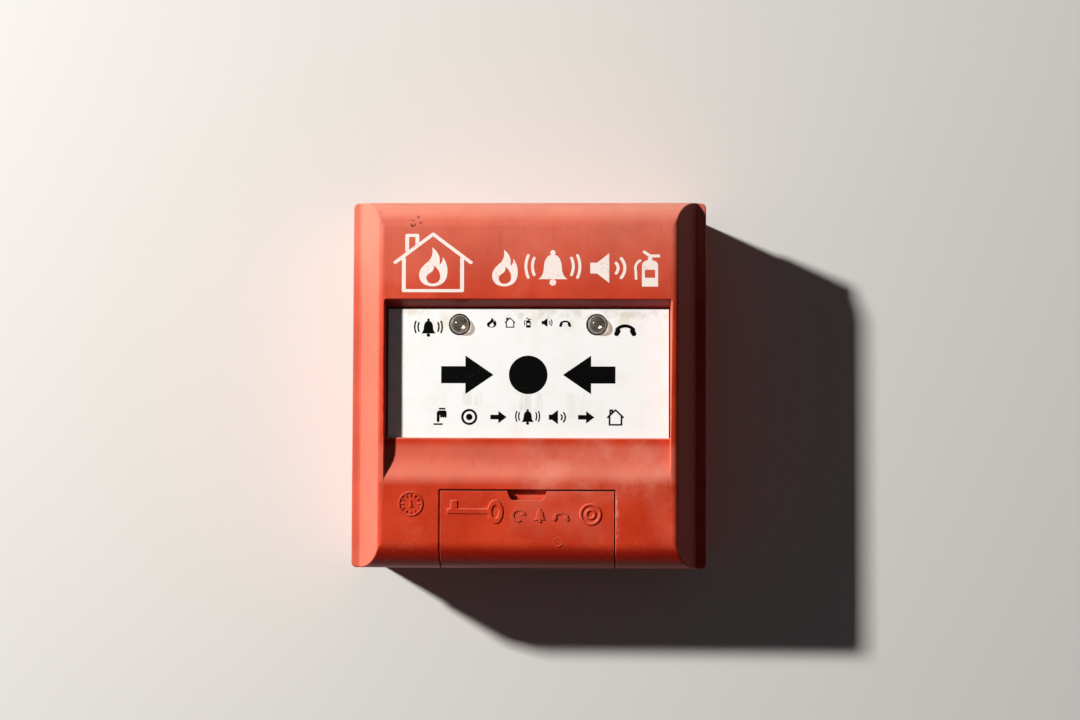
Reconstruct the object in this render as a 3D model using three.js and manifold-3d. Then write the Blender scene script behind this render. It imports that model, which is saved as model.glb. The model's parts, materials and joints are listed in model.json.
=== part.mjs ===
// Wall-mounted manual fire alarm call point: a front unit with a push plate, a reset lock and a
// telephone jack behind a flap, plugged into a back box that screws to the wall.
//
// The pieces are modelled in millimetres with x to the right, y up and z out of the wall, from
// the centre of the back box's rear face. The exported group turns that frame upright, so the
// finished part has +X to the right, +Z up, and its front towards -Y.

import * as THREE from "three";
import { mergeVertices } from "three/addons/utils/BufferGeometryUtils.js";
import Module from "manifold-3d";

const wasm = await Module();
wasm.setup();

// ---- driving dimensions, mm -------------------------------------------------------------

const GAP = 0.3; // clearance between neighbouring pieces
const WALL = 2; // moulded wall thickness
const CORNER = 1.4; // radius of the outline's corners
const ROUND = 20; // sides of a round piece
const SMALL_ROUND = 12; // sides of a small round piece
const CURVE_STEPS = 7; // straight steps along each curved stretch of an outline
const CORNER_STEPS = 4; // straight steps round each small corner

const BOX_WIDTH = 94.6;
const BOX_HEIGHT = 97.6;
const BOX_DEPTH = 20;
const FIXING_SPACING = 60; // standard two-screw wall box
const FIXING_SLOT = { width: 4.4, length: 9 };
const CABLE_WINDOW = { width: 36, height: 20, y: 22 };
const KNOCKOUT = { radius: 8, groove: 0.8, depth: 1.2, z: 10 };
const BOX_RIB = { from: 24.6, to: 26, height: 1.4 }; // stiffening ribs on the rear wall
const SNAP = { from: 16, to: 22, hookRear: 14, hookFront: 15.6 }; // the cover's snap tabs

const COVER_WIDTH = 95.4;
const COVER_HEIGHT = 98.4;
const COVER_REAR = BOX_DEPTH + GAP;
const COVER_RIM = 36.5; // height where the rolled ends and the bevelled sides begin
const COVER_FRONT = 45.5;
const ROLL = 7.6; // how far the rolled ends reach in from the top and bottom
const BEVEL_ANGLE = THREE.MathUtils.degToRad(56);
const BEVEL_FOOT = 45.5; // x where the bevel's slope meets the rim
const FOOT_FILLET = 0.7; // tangent length of the hollow fillet at the bevel's foot
const CREST_ROUND = 1.25; // tangent length of the round along the bevel's crest

const WINDOW = { half: 37.9, mouth: 38.15, bottom: -14.3, top: 20.6, lip: 22.5 };
const WINDOW_WALL_REAR = 36;
const RAMP = { end: -25.9, start: -17.5, floor: 42.76 };
const RAMP_EASE = { high: -24.2, low: -21.5 }; // y of the control points of the ramp's curve

const PLATE_FRONT = 41.3;
const PLATE_REAR = 39.3;
const PLATE_RIM = { depth: 2.3, wall: 1.2 }; // stiffening rim behind the push plate
const PLATE_POST = { x: 31, y: 2.5, radius: 1.8, end: 29.4 };
const PLATE_SPRING = { radius: 2.6, wire: 0.3, turns: 5 };
const STEM = { y: 2.55, radius: 2, end: 35.9 };
const LED = { x: 18.4, y: 16, radius: 2.5, flange: 2.9, base: 34.5, tip: 44.1 };
const SPACER = { radius: 2.7, bore: 1.5 }; // the tube that holds each lamp off the board

const CHASSIS = { rear: 29, front: 31, half: 44.5, bottom: -43, top: 45 };
const CHASSIS_SCREW = { x: 41, y: 38 };
const PCB = { rear: 24, front: 25.6, halfWidth: 35, halfHeight: 22 };
const PCB_SCREWS = [
  [-31, -17.5],
  [31, -17.5],
  [0, 18.5],
];
const TRAY = { rear: 17, floor: 18.5, front: 28.7, half: 38, bottom: -24, top: 26, wall: 1.5 };
const SWITCH = { half: 6.5, bottom: -0.6, top: 5.7, front: 32.4 };

const TERMINALS = 6;
const TERMINAL_PITCH = 6;
const TERMINAL_BLOCK = { half: 19.5, bottom: -22, top: -4, rear: 2.3, front: 11 };
const CLAMP_Y = -16;
const SOCKET_Y = -8;

const FLAP_HALF = 23.1;
const FLAP_TOP = -28.4;
const NOTCH = { half: 5.2, floorHalf: 3.6, lean: 0.5, depth: 2.4 }; // finger notch in the flap's edge
const FLAP_REST = { half: 7, height: 3.3, rear: 41.7, front: 43.2 }; // ledge behind the notch
const HINGE = { y: -46.5, z: 31, knuckle: 2.7, trunnion: 1.2, bore: 1.5 };
const POCKET_FLOOR = { rear: 36, front: 37.5, bottom: -43.4 };
const POCKET_TOP = -28.1;
const RELIEF = 0.35; // height of the raised marks on the flap
const KEY_MARK = { shaft: [-21.2, -10.2], tooth: [-20.2, -18.5], y: -33.8, half: 0.65, tall: 2.9 };
const BOW_MARK = { x: -8.4, y: -33.9, wide: 2.05, high: 3.2, holeWide: 0.95, holeHigh: 1.75 };
const JACK_MARK = { x: 16.8, y: -34.5, outer: 2.9, inner: 1.45, line: 0.58 };

const BARREL = { x: -14, y: -32.8, head: 4.2, radius: 3.3, shaft: 2.6, pivot: 1.2, face: 38.9 };
const KEYHOLE = { radius: 1.5, slotHalf: 0.6, reach: 2.6, rear: 34 };
const CAM = { rear: 31.6, front: 34.6, low: 4, high: 6 };
const CLIP = { radius: 5, front: 35.6, mouth: 1.2 };
const LATCH = { rear: 31.4, front: 34.4, left: -24, right: -20.7, top: -17, foot: 2.5 };
const LATCH_SPRING = { x: -28.2, z: 33.2, from: -35.4, to: -25.3, radius: 1.4, wire: 0.25, turns: 6 };

const JACK = { x: 15.5, y: -34.5, bore: 3.3, bush: 3.9 };

// ---- finishes ---------------------------------------------------------------------------

const FINISHES = {
  redPlastic: { color: 0xcd3c28, roughness: 0.5, metalness: 0 },
  whitePlastic: { color: 0xf2f1ec, roughness: 0.45, metalness: 0 },
  blackPlastic: { color: 0x1c1c1e, roughness: 0.5, metalness: 0 },
  greyPlastic: { color: 0x8d9092, roughness: 0.5, metalness: 0 },
  ivoryPlastic: { color: 0xd9d4c4, roughness: 0.5, metalness: 0 },
  clearPlastic: { color: 0xc9cdd0, roughness: 0.1, metalness: 0 },
  boardGreen: { color: 0x1f5a38, roughness: 0.6, metalness: 0 },
  steel: { color: 0xb4b7ba, roughness: 0.35, metalness: 1 },
  brass: { color: 0xc2a052, roughness: 0.35, metalness: 1 },
  redWire: { color: 0xa8231c, roughness: 0.5, metalness: 0 },
  blackWire: { color: 0x202022, roughness: 0.5, metalness: 0 },
};

// ---- solids -----------------------------------------------------------------------------

// A closed geometry as a solid that can be joined and cut.
function solid(geometry) {
  geometry.deleteAttribute("normal");
  geometry.deleteAttribute("uv");
  const merged = mergeVertices(geometry);
  const vertProperties = merged.attributes.position.array;
  const triVerts = Uint32Array.from(merged.index.array);
  return new wasm.Manifold(new wasm.Mesh({ numProp: 3, vertProperties, triVerts }));
}

// A named mesh of one solid.
function piece(name, finish, shape, position = [0, 0, 0]) {
  const { vertProperties, triVerts } = shape.getMesh();
  const geometry = new THREE.BufferGeometry();
  geometry.setAttribute("position", new THREE.BufferAttribute(vertProperties, 3));
  geometry.setIndex(new THREE.BufferAttribute(triVerts, 1));
  geometry.computeVertexNormals();
  const mesh = new THREE.Mesh(geometry, new THREE.MeshStandardMaterial(FINISHES[finish]));
  mesh.name = name;
  mesh.position.set(...position);
  return mesh;
}

// A box from its range along each axis.
function box([x0, x1], [y0, y1], [z0, z1]) {
  const geometry = new THREE.BoxGeometry(x1 - x0, y1 - y0, z1 - z0);
  geometry.translate((x0 + x1) / 2, (y0 + y1) / 2, (z0 + z1) / 2);
  return solid(geometry);
}

// The same box on both sides of x = 0.
function pairOfBoxes([x0, x1], y, z) {
  return box([x0, x1], y, z).add(box([-x1, -x0], y, z));
}

// A round bar along z.
function barZ(radius, x, y, [z0, z1], sides = ROUND) {
  const geometry = new THREE.CylinderGeometry(radius, radius, z1 - z0, sides);
  geometry.rotateX(Math.PI / 2);
  geometry.translate(x, y, (z0 + z1) / 2);
  return solid(geometry);
}

// A round bar along x.
function barX(radius, [x0, x1], y, z, sides = ROUND) {
  const geometry = new THREE.CylinderGeometry(radius, radius, x1 - x0, sides);
  geometry.rotateZ(Math.PI / 2);
  geometry.translate((x0 + x1) / 2, y, z);
  return solid(geometry);
}

// A round bar along y.
function barY(radius, x, [y0, y1], z, sides = ROUND) {
  const geometry = new THREE.CylinderGeometry(radius, radius, y1 - y0, sides);
  geometry.translate(x, (y0 + y1) / 2, z);
  return solid(geometry);
}

// A ring along z.
function ringZ(outer, inner, x, y, [z0, z1], sides = ROUND) {
  const bore = barZ(inner, x, y, [z0 - 1, z1 + 1], sides);
  return barZ(outer, x, y, [z0, z1], sides).subtract(bore);
}

// An outline extruded along z.
function extrudeZ(shape, [from, to], curveSegments = CURVE_STEPS) {
  const options = { depth: to - from, bevelEnabled: false, curveSegments };
  const geometry = new THREE.ExtrudeGeometry(shape, options);
  geometry.translate(0, 0, from);
  return geometry;
}

// A side view (y, z) extruded along x, the same way on both sides of x = 0.
function prismX(shape, half) {
  const turn = new THREE.Matrix4().set(0, 0, 1, 0, 1, 0, 0, 0, 0, 1, 0, 0, 0, 0, 0, 1);
  return solid(extrudeZ(shape, [-half, half]).applyMatrix4(turn));
}

// A top view (x, z) extruded along y, the same way on both sides of y = 0.
function prismY(shape, half) {
  const turn = new THREE.Matrix4().set(1, 0, 0, 0, 0, 0, -1, 0, 0, 1, 0, 0, 0, 0, 0, 1);
  return solid(extrudeZ(shape, [-half, half]).applyMatrix4(turn));
}

function polygon(points) {
  return new THREE.Shape(points.map(([u, v]) => new THREE.Vector2(u, v)));
}

// A front view with rounded corners, extruded along z.
function roundedBlock([x0, x1], [y0, y1], z, radius) {
  const shape = new THREE.Shape();
  shape.moveTo(x0 + radius, y0);
  shape.absarc(x1 - radius, y0 + radius, radius, -Math.PI / 2, 0);
  shape.absarc(x1 - radius, y1 - radius, radius, 0, Math.PI / 2);
  shape.absarc(x0 + radius, y1 - radius, radius, Math.PI / 2, Math.PI);
  shape.absarc(x0 + radius, y0 + radius, radius, Math.PI, Math.PI * 1.5);
  return solid(extrudeZ(shape, z, CORNER_STEPS));
}

// A turned solid about z, from the half outline's (radius, z) points.
function turned(points, sides = ROUND) {
  const outline = points.map(([r, z]) => new THREE.Vector2(r, z));
  const geometry = new THREE.LatheGeometry(outline, sides);
  geometry.rotateX(Math.PI / 2);
  return solid(geometry);
}

class Helix extends THREE.Curve {
  constructor(radius, length, turns) {
    super();
    Object.assign(this, { radius, length, turns });
  }
  getPoint(t, target = new THREE.Vector3()) {
    const angle = t * this.turns * 2 * Math.PI;
    const { radius, length } = this;
    return target.set(radius * Math.cos(angle), radius * Math.sin(angle), t * length);
  }
}

// A round rod along a curve.
function rod(curve, radius, steps, sides) {
  const section = polygon(
    Array.from({ length: sides }, (_, i) => {
      const angle = (i / sides) * 2 * Math.PI;
      return [radius * Math.cos(angle), radius * Math.sin(angle)];
    }),
  );
  return solid(new THREE.ExtrudeGeometry(section, { steps, extrudePath: curve }));
}

// A compression spring that starts at the origin and runs along +z.
function spring(meanRadius, wireRadius, length, turns) {
  const curve = new Helix(meanRadius, length - 2 * wireRadius, turns);
  const coil = rod(curve, wireRadius, turns * 9, 4);
  return coil.translate([0, 0, wireRadius]);
}

// A slotted pan-head screw along z: its head rises from z = 0 and its shank goes down.
function screw(headRadius, headHeight, shankRadius, length) {
  const head = barZ(headRadius, 0, 0, [0, headHeight], SMALL_ROUND);
  const shank = barZ(shankRadius, 0, 0, [-length, 0.1], 10);
  const slotHalf = headRadius * 0.15;
  const slot = box([-headRadius, headRadius], [-slotHalf, slotHalf], [headHeight / 2, headHeight + 1]);
  return head.add(shank).subtract(slot);
}

function union(solids) {
  return solids.reduce((joined, next) => joined.add(next));
}

// ---- back box and terminals -------------------------------------------------------------

function backBox() {
  const x = BOX_WIDTH / 2;
  const y = BOX_HEIGHT / 2;
  const outer = roundedBlock([-x, x], [-y, y], [0, BOX_DEPTH], CORNER);
  const inX = x - WALL;
  const inY = y - WALL;
  const inner = roundedBlock([-inX, inX], [-inY, inY], [WALL, BOX_DEPTH + 1], CORNER / 2);
  const windowX = CABLE_WINDOW.width / 2;
  const windowY = [
    CABLE_WINDOW.y - CABLE_WINDOW.height / 2,
    CABLE_WINDOW.y + CABLE_WINDOW.height / 2,
  ];
  const cableWindow = roundedBlock([-windowX, windowX], windowY, [-1, WALL + 1], 2);
  const slotX = FIXING_SPACING / 2;
  const { width, length } = FIXING_SLOT;
  const through = [-1, WALL + 1];
  const leftSlot = roundedBlock(
    [-slotX - width / 2, -slotX + width / 2],
    [-length / 2, length / 2],
    through,
    width / 2 - 0.05,
  );
  const rightSlot = roundedBlock(
    [slotX - length / 2, slotX + length / 2],
    [-width / 2, width / 2],
    through,
    width / 2 - 0.05,
  );
  const pockets = [1, -1].map((side) => {
    const reach = [side * (inY - 0.1), side * (y - 0.8)].sort((a, b) => a - b);
    const z = [SNAP.hookRear - 0.6, SNAP.hookFront + 0.6];
    return pairOfBoxes([SNAP.from - 0.5, SNAP.to + 0.5], reach, z);
  });
  const ribZ = [WALL - 0.1, WALL + BOX_RIB.height];
  return outer
    .subtract(inner)
    .add(pairOfBoxes([BOX_RIB.from, BOX_RIB.to], [-inY, inY], ribZ))
    .subtract(union([cableWindow, leftSlot, rightSlot, ...pockets]))
    .subtract(knockoutGroove(1).add(knockoutGroove(-1)));
}

// The ring-shaped groove of a conduit knockout, in the top (+1) or bottom (-1) wall.
function knockoutGroove(side) {
  const y = BOX_HEIGHT / 2;
  const reach = [side * (y - KNOCKOUT.depth), side * (y + 1)].sort((a, b) => a - b);
  const outside = barY(KNOCKOUT.radius, 0, reach, KNOCKOUT.z);
  const deeper = [reach[0] - 1, reach[1] + 1];
  return outside.subtract(barY(KNOCKOUT.radius - KNOCKOUT.groove, 0, deeper, KNOCKOUT.z));
}

// The x of each terminal, from left to right.
function terminalPlaces() {
  const first = (-(TERMINALS - 1) / 2) * TERMINAL_PITCH;
  return Array.from({ length: TERMINALS }, (_, i) => first + i * TERMINAL_PITCH);
}

function terminalBlock() {
  const { half, bottom, top, rear, front } = TERMINAL_BLOCK;
  const block = box([-half, half], [bottom, top], [rear, front]);
  const cuts = terminalPlaces().map((x) => {
    const well = box([x - 2.4, x + 2.4], [CLAMP_Y - 3, CLAMP_Y + 3], [4, front + 1]);
    const wireEntry = box([x - 1.5, x + 1.5], [bottom - 1, CLAMP_Y], [4.4, 7.4]);
    const socket = box([x - 1.1, x + 1.1], [SOCKET_Y - 1.1, SOCKET_Y + 1.1], [5, front + 1]);
    return union([well, wireEntry, socket]);
  });
  return block.subtract(union(cuts));
}

// A brass cage clamp: a block with a wire hole along y and a screw hole along z.
function terminalClamp() {
  const cage = box([-2.1, 2.1], [-2.6, 2.6], [0, 3.2]);
  const wireHole = box([-1.2, 1.2], [-3, 3], [0.7, 2.4]);
  return cage.subtract(wireHole).subtract(barZ(1.45, 0, 0, [1, 4], SMALL_ROUND));
}

function terminals() {
  const group = new THREE.Group();
  group.add(piece("terminal_block", "ivoryPlastic", terminalBlock()));
  terminalPlaces().forEach((x, i) => {
    const clamp = terminalClamp();
    group.add(piece(`terminal_clamp_${i + 1}`, "brass", clamp, [x, CLAMP_Y, 4.3]));
    const clampScrew = screw(1.9, 1.5, 1.1, 3);
    group.add(piece(`terminal_screw_${i + 1}`, "steel", clampScrew, [x, CLAMP_Y, 8.6]));
  });
  return group;
}

// ---- electronics ------------------------------------------------------------------------

function pinHeader() {
  const end = (TERMINALS * TERMINAL_PITCH) / 2;
  const bar = box([-end, end], [SOCKET_Y - 2, SOCKET_Y + 2], [21.4, PCB.rear - GAP]);
  const holes = terminalPlaces().map((x) =>
    box([x - 0.8, x + 0.8], [SOCKET_Y - 0.8, SOCKET_Y + 0.8], [20, 25]),
  );
  return bar.subtract(union(holes));
}

function plugPin() {
  return box([-0.5, 0.5], [-0.5, 0.5], [6.5, PCB.rear - GAP]);
}

function pcb() {
  const { halfWidth, halfHeight, rear, front } = PCB;
  const board = box([-halfWidth, halfWidth], [-halfHeight, halfHeight], [rear, front]);
  const holes = PCB_SCREWS.map(([x, y]) => barZ(1.4, x, y, [rear - 1, front + 1], SMALL_ROUND));
  return board.subtract(union(holes));
}

function controllerChip() {
  return box([-27, -13], [-11, -3.5], [PCB.front + GAP, 28.2]);
}

function relay() {
  return box([10, 26], [4, 14], [19, PCB.rear - GAP]);
}

// A can capacitor lying on the board's rear.
function capacitor() {
  const can = barY(2.2, 0, [0, 11], 0, SMALL_ROUND);
  const waist = barY(2.4, 0, [8.6, 9], 0, SMALL_ROUND);
  const seal = barY(1.5, 0, [-0.4, 0.2], 0, SMALL_ROUND);
  return union([can, waist, seal]);
}

function switchBody() {
  const { half, bottom, top, front } = SWITCH;
  const body = box([-half, half], [bottom, top], [PCB.front + GAP, front]);
  const shaft = box([-1.4, 1.4], [STEM.y - 1.2, STEM.y + 1.2], [28.9, front + 1]);
  return body.subtract(shaft);
}

function switchPlunger() {
  const stalk = box([-1.1, 1.1], [STEM.y - 0.9, STEM.y + 0.9], [30.2, 33]);
  return stalk.add(barX(0.9, [-1.1, 1.1], STEM.y, 32.7, SMALL_ROUND));
}

// A 5 mm lamp: flange, straight body and domed tip, from z = 0 up.
function led() {
  const height = LED.tip - LED.base;
  const shoulder = height - LED.radius;
  const dome = Array.from({ length: CORNER_STEPS }, (_, i) => {
    const angle = (i / CORNER_STEPS) * (Math.PI / 2);
    return [LED.radius * Math.cos(angle), shoulder + LED.radius * Math.sin(angle)];
  });
  const foot = [[0, 0], [LED.flange, 0], [LED.flange, 1], [LED.radius, 1]];
  return turned([...foot, ...dome, [0, height]], SMALL_ROUND);
}

function ledSpacer() {
  const z = [PCB.front + GAP, LED.base - GAP];
  return ringZ(SPACER.radius, SPACER.bore, 0, 0, z, SMALL_ROUND);
}

// The rear tray that closes the front unit behind the board.
function pcbTray() {
  const { rear, floor, front, half, bottom, top, wall } = TRAY;
  const outer = roundedBlock([-half, half], [bottom, top], [rear, front], 1.5);
  const inX = half - wall;
  const inner = box([-inX, inX], [bottom + wall, top - wall], [floor, front + 1]);
  const plugSlot = box([-19, 19], [SOCKET_Y - 3, SOCKET_Y + 3], [rear - 1, floor + 1]);
  const wireNotch = box([3, 12], [bottom - 1, bottom + wall + 1], [25.4, front + 1]);
  const bosses = PCB_SCREWS.map(([x, y]) =>
    ringZ(2.6, 1.3, x, y, [floor - 0.1, PCB.rear - GAP], SMALL_ROUND),
  );
  return outer.subtract(union([inner, plugSlot, wireNotch])).add(union(bosses));
}

function electronics() {
  const group = new THREE.Group();
  group.add(piece("pin_header", "blackPlastic", pinHeader()));
  terminalPlaces().forEach((x, i) => {
    group.add(piece(`plug_pin_${i + 1}`, "brass", plugPin(), [x, SOCKET_Y, 0]));
  });
  group.add(piece("circuit_board", "boardGreen", pcb()));
  PCB_SCREWS.forEach(([x, y], i) => {
    const boardScrew = screw(2.2, 1.3, 1, 5.5);
    group.add(piece(`board_screw_${i + 1}`, "steel", boardScrew, [x, y, PCB.front + GAP]));
  });
  group.add(piece("controller_chip", "blackPlastic", controllerChip()));
  group.add(piece("alarm_relay", "blackPlastic", relay()));
  [-14, -21].forEach((x, i) => {
    group.add(piece(`capacitor_${i + 1}`, "steel", capacitor(), [x, 3, 21.2]));
  });
  group.add(piece("switch_body", "blackPlastic", switchBody()));
  group.add(piece("switch_plunger", "redPlastic", switchPlunger()));
  for (const [name, x] of [
    ["alarm_led", -LED.x],
    ["phone_led", LED.x],
  ]) {
    group.add(piece(name, "clearPlastic", led(), [x, LED.y, LED.base]));
    group.add(piece(`${name}_spacer`, "blackPlastic", ledSpacer(), [x, LED.y, 0]));
  }
  group.add(piece("rear_tray", "greyPlastic", pcbTray()));
  return group;
}

// ---- chassis ----------------------------------------------------------------------------

function chassisPlate() {
  const { rear, front, half, bottom, top } = CHASSIS;
  const z = [rear - 1, front + 1];
  const plate = roundedBlock([-half, half], [bottom, top], [rear, front], 2);
  const cuts = [
    box([-7, 7], [SWITCH.bottom - 0.4, SWITCH.top + 0.4], z),
    box([JACK.x - 5.9, JACK.x + 5.9], [bottom - 1, JACK.y + 5.4], z),
    barZ(1.6, BARREL.x, BARREL.y, z, SMALL_ROUND),
  ];
  for (const side of [-1, 1]) {
    cuts.push(barZ(PLATE_POST.radius + 0.4, side * PLATE_POST.x, PLATE_POST.y, z, SMALL_ROUND));
    cuts.push(barZ(SPACER.radius + 0.5, side * LED.x, LED.y, z, ROUND));
    for (const end of [-1, 1]) {
      cuts.push(barZ(1.6, side * CHASSIS_SCREW.x, end * CHASSIS_SCREW.y, z, SMALL_ROUND));
    }
  }
  const seatWall = 0.7;
  const seatBore = PLATE_SPRING.radius + PLATE_SPRING.wire + 0.4;
  const springSeats = [-1, 1].map((side) => {
    const z = [front - 0.1, front + 1.3];
    return ringZ(seatBore + seatWall, seatBore, side * PLATE_POST.x, PLATE_POST.y, z, ROUND);
  });
  return plate.subtract(union(cuts)).add(union([...springSeats, latchGuides()]));
}

// What guides the latch on the chassis: the wall its spring pushes on, and a rail on each side.
function latchGuides() {
  const root = CHASSIS.front - 0.1;
  const springX = [LATCH_SPRING.x - 2.4, LATCH_SPRING.x + 2.2];
  const springY = [LATCH_SPRING.from - 2, LATCH_SPRING.from - GAP];
  const railFront = LATCH.front - 0.8;
  return union([
    box(springX, springY, [root, LATCH.front + 0.6]),
    box([LATCH.left - 1.7, LATCH.left - 0.4], [-34, -29], [root, railFront]),
    box([LATCH.right + 0.4, LATCH.right + 1.4], [-24, -20], [root, railFront]),
  ]);
}

function chassis() {
  const group = new THREE.Group();
  group.add(piece("chassis_plate", "greyPlastic", chassisPlate()));
  const corners = [
    [-1, 1],
    [1, 1],
    [-1, -1],
    [1, -1],
  ];
  corners.forEach(([side, end], i) => {
    const place = [side * CHASSIS_SCREW.x, end * CHASSIS_SCREW.y, CHASSIS.rear - GAP];
    const mesh = piece(`chassis_screw_${i + 1}`, "steel", screw(2.7, 1.8, 1.2, 9), place);
    mesh.rotation.x = Math.PI;
    group.add(mesh);
  });
  return group;
}

// ---- front cover ------------------------------------------------------------------------

// The cover's side view (y, z): straight walls that roll over into the flat front.
function rolledProfile(inset, rear) {
  const height = COVER_HEIGHT / 2 - inset;
  const centre = COVER_HEIGHT / 2 - ROLL;
  const rollY = ROLL - inset;
  const rollZ = COVER_FRONT - COVER_RIM - inset;
  const shape = new THREE.Shape();
  shape.moveTo(-height, rear);
  shape.lineTo(-height, COVER_RIM);
  shape.absellipse(-centre, COVER_RIM, rollY, rollZ, Math.PI, Math.PI / 2, true);
  shape.absellipse(centre, COVER_RIM, rollY, rollZ, Math.PI / 2, 0, true);
  shape.lineTo(height, rear);
  return shape;
}

// The x of the side bevel at height z, moved in by the inset.
function bevelX(z, inset) {
  const slope = (z - COVER_RIM) / Math.tan(BEVEL_ANGLE);
  return BEVEL_FOOT - slope - inset / Math.sin(BEVEL_ANGLE);
}

// The cover's top view (x, z): a narrow flange, a hollow fillet, the bevel and its rounded crest.
function ridgedProfile() {
  const x = COVER_WIDTH / 2;
  const foot = bevelX(COVER_RIM, 0);
  const crest = bevelX(COVER_FRONT, 0);
  const filletTop = COVER_RIM + FOOT_FILLET * Math.sin(BEVEL_ANGLE);
  const crestLow = COVER_FRONT - CREST_ROUND * Math.sin(BEVEL_ANGLE);
  const shape = new THREE.Shape();
  shape.moveTo(x, COVER_REAR);
  shape.lineTo(x, COVER_RIM);
  shape.lineTo(foot + FOOT_FILLET, COVER_RIM);
  shape.quadraticCurveTo(foot, COVER_RIM, bevelX(filletTop, 0), filletTop);
  shape.lineTo(bevelX(crestLow, 0), crestLow);
  shape.quadraticCurveTo(crest, COVER_FRONT, crest - CREST_ROUND, COVER_FRONT);
  shape.lineTo(-crest + CREST_ROUND, COVER_FRONT);
  shape.quadraticCurveTo(-crest, COVER_FRONT, -bevelX(crestLow, 0), crestLow);
  shape.lineTo(-bevelX(filletTop, 0), filletTop);
  shape.quadraticCurveTo(-foot, COVER_RIM, -foot - FOOT_FILLET, COVER_RIM);
  shape.lineTo(-x, COVER_RIM);
  shape.lineTo(-x, COVER_REAR);
  return shape;
}

// The cover's full outer form, before it is hollowed.
function coverForm() {
  const x = COVER_WIDTH / 2;
  const y = COVER_HEIGHT / 2;
  const across = prismX(rolledProfile(0, COVER_REAR), x + 1);
  const along = prismY(ridgedProfile(), y + 1);
  const plan = roundedBlock([-x, x], [-y, y], [COVER_REAR - 1, COVER_FRONT + 1], CORNER);
  return across.intersect(along).intersect(plan);
}

// The hollow behind the cover's walls, open at the rear.
function coverHollow() {
  const x = COVER_WIDTH / 2 - WALL;
  const rear = COVER_REAR - 1;
  const front = COVER_FRONT - WALL;
  const turnZ = COVER_RIM - (x - bevelX(COVER_RIM, WALL)) * Math.tan(BEVEL_ANGLE);
  const crest = bevelX(front, WALL);
  const view = polygon([
    [x, rear],
    [x, turnZ],
    [crest, front],
    [-crest, front],
    [-x, turnZ],
    [-x, rear],
  ]);
  return prismX(rolledProfile(WALL, rear), x + 1).intersect(prismY(view, COVER_HEIGHT));
}

// What is cut out above the ramp and through the plate's window.
function recessCut() {
  const high = COVER_FRONT + 5;
  const low = CHASSIS.rear;
  const chamfer = 0.3;
  const { high: easeHigh, low: easeLow } = RAMP_EASE;
  const side = new THREE.Shape();
  side.moveTo(RAMP.end, high);
  side.lineTo(RAMP.end, COVER_FRONT);
  side.bezierCurveTo(easeHigh, COVER_FRONT, easeLow, RAMP.floor, RAMP.start, RAMP.floor);
  side.lineTo(WINDOW.bottom - chamfer, RAMP.floor);
  side.lineTo(WINDOW.bottom, RAMP.floor - chamfer);
  side.lineTo(WINDOW.bottom, low);
  side.lineTo(WINDOW.top, low);
  side.lineTo(WINDOW.top, PLATE_FRONT);
  side.lineTo(WINDOW.lip, COVER_FRONT);
  side.lineTo(WINDOW.lip, high);
  const draft = polygon([
    [-WINDOW.half, low],
    [WINDOW.half, low],
    [WINDOW.half, PLATE_FRONT],
    [WINDOW.mouth, COVER_FRONT],
    [WINDOW.mouth, high],
    [-WINDOW.mouth, high],
    [-WINDOW.mouth, COVER_FRONT],
    [-WINDOW.half, PLATE_FRONT],
  ]);
  return prismX(side, COVER_WIDTH / 2).intersect(prismY(draft, COVER_HEIGHT / 2));
}

// The walls that hang behind the recess: two sides, the top, and the sheet under the ramp.
function recessWalls() {
  const outX = WINDOW.half + WALL + 0.1;
  const y = [RAMP.end - WALL, WINDOW.lip + WALL];
  const sides = pairOfBoxes([WINDOW.half, outX], y, [WINDOW_WALL_REAR, COVER_FRONT]);
  const topWall = box([-outX, outX], [WINDOW.top - 0.5, y[1]], [PLATE_REAR - 1.3, COVER_FRONT]);
  const lipRear = PLATE_FRONT + GAP;
  const inside = COVER_FRONT - WALL;
  const easeHigh = RAMP_EASE.high - 0.8;
  const easeLow = RAMP_EASE.low - 1.5;
  const sheet = new THREE.Shape();
  sheet.moveTo(y[0], COVER_FRONT);
  sheet.lineTo(y[0], inside);
  sheet.bezierCurveTo(easeHigh, inside, easeLow, lipRear, RAMP.start - WALL, lipRear);
  sheet.lineTo(WINDOW.bottom + 0.5, lipRear);
  sheet.lineTo(WINDOW.bottom + 0.5, COVER_FRONT);
  return union([sides, topWall, prismX(sheet, outX)]);
}

// What is cut out for the flap, its pocket and its hinge.
function flapCut() {
  const lipZ = HINGE.z - HINGE.knuckle - 2 * GAP;
  const low = -COVER_HEIGHT / 2 - 3;
  const high = COVER_FRONT + 5;
  const side = polygon([
    [POCKET_TOP, high],
    [POCKET_TOP, POCKET_FLOOR.front],
    [POCKET_FLOOR.bottom, POCKET_FLOOR.front],
    [POCKET_FLOOR.bottom, lipZ],
    [low, lipZ],
    [low, high],
  ]);
  return prismX(side, FLAP_HALF + GAP);
}

// The ledge behind the notch that the flap's top edge rests in front of.
function flapRest() {
  const { half, height, rear, front } = FLAP_REST;
  return box([-half, half], [POCKET_TOP - height, POCKET_TOP + 0.5], [rear, front]);
}

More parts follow.
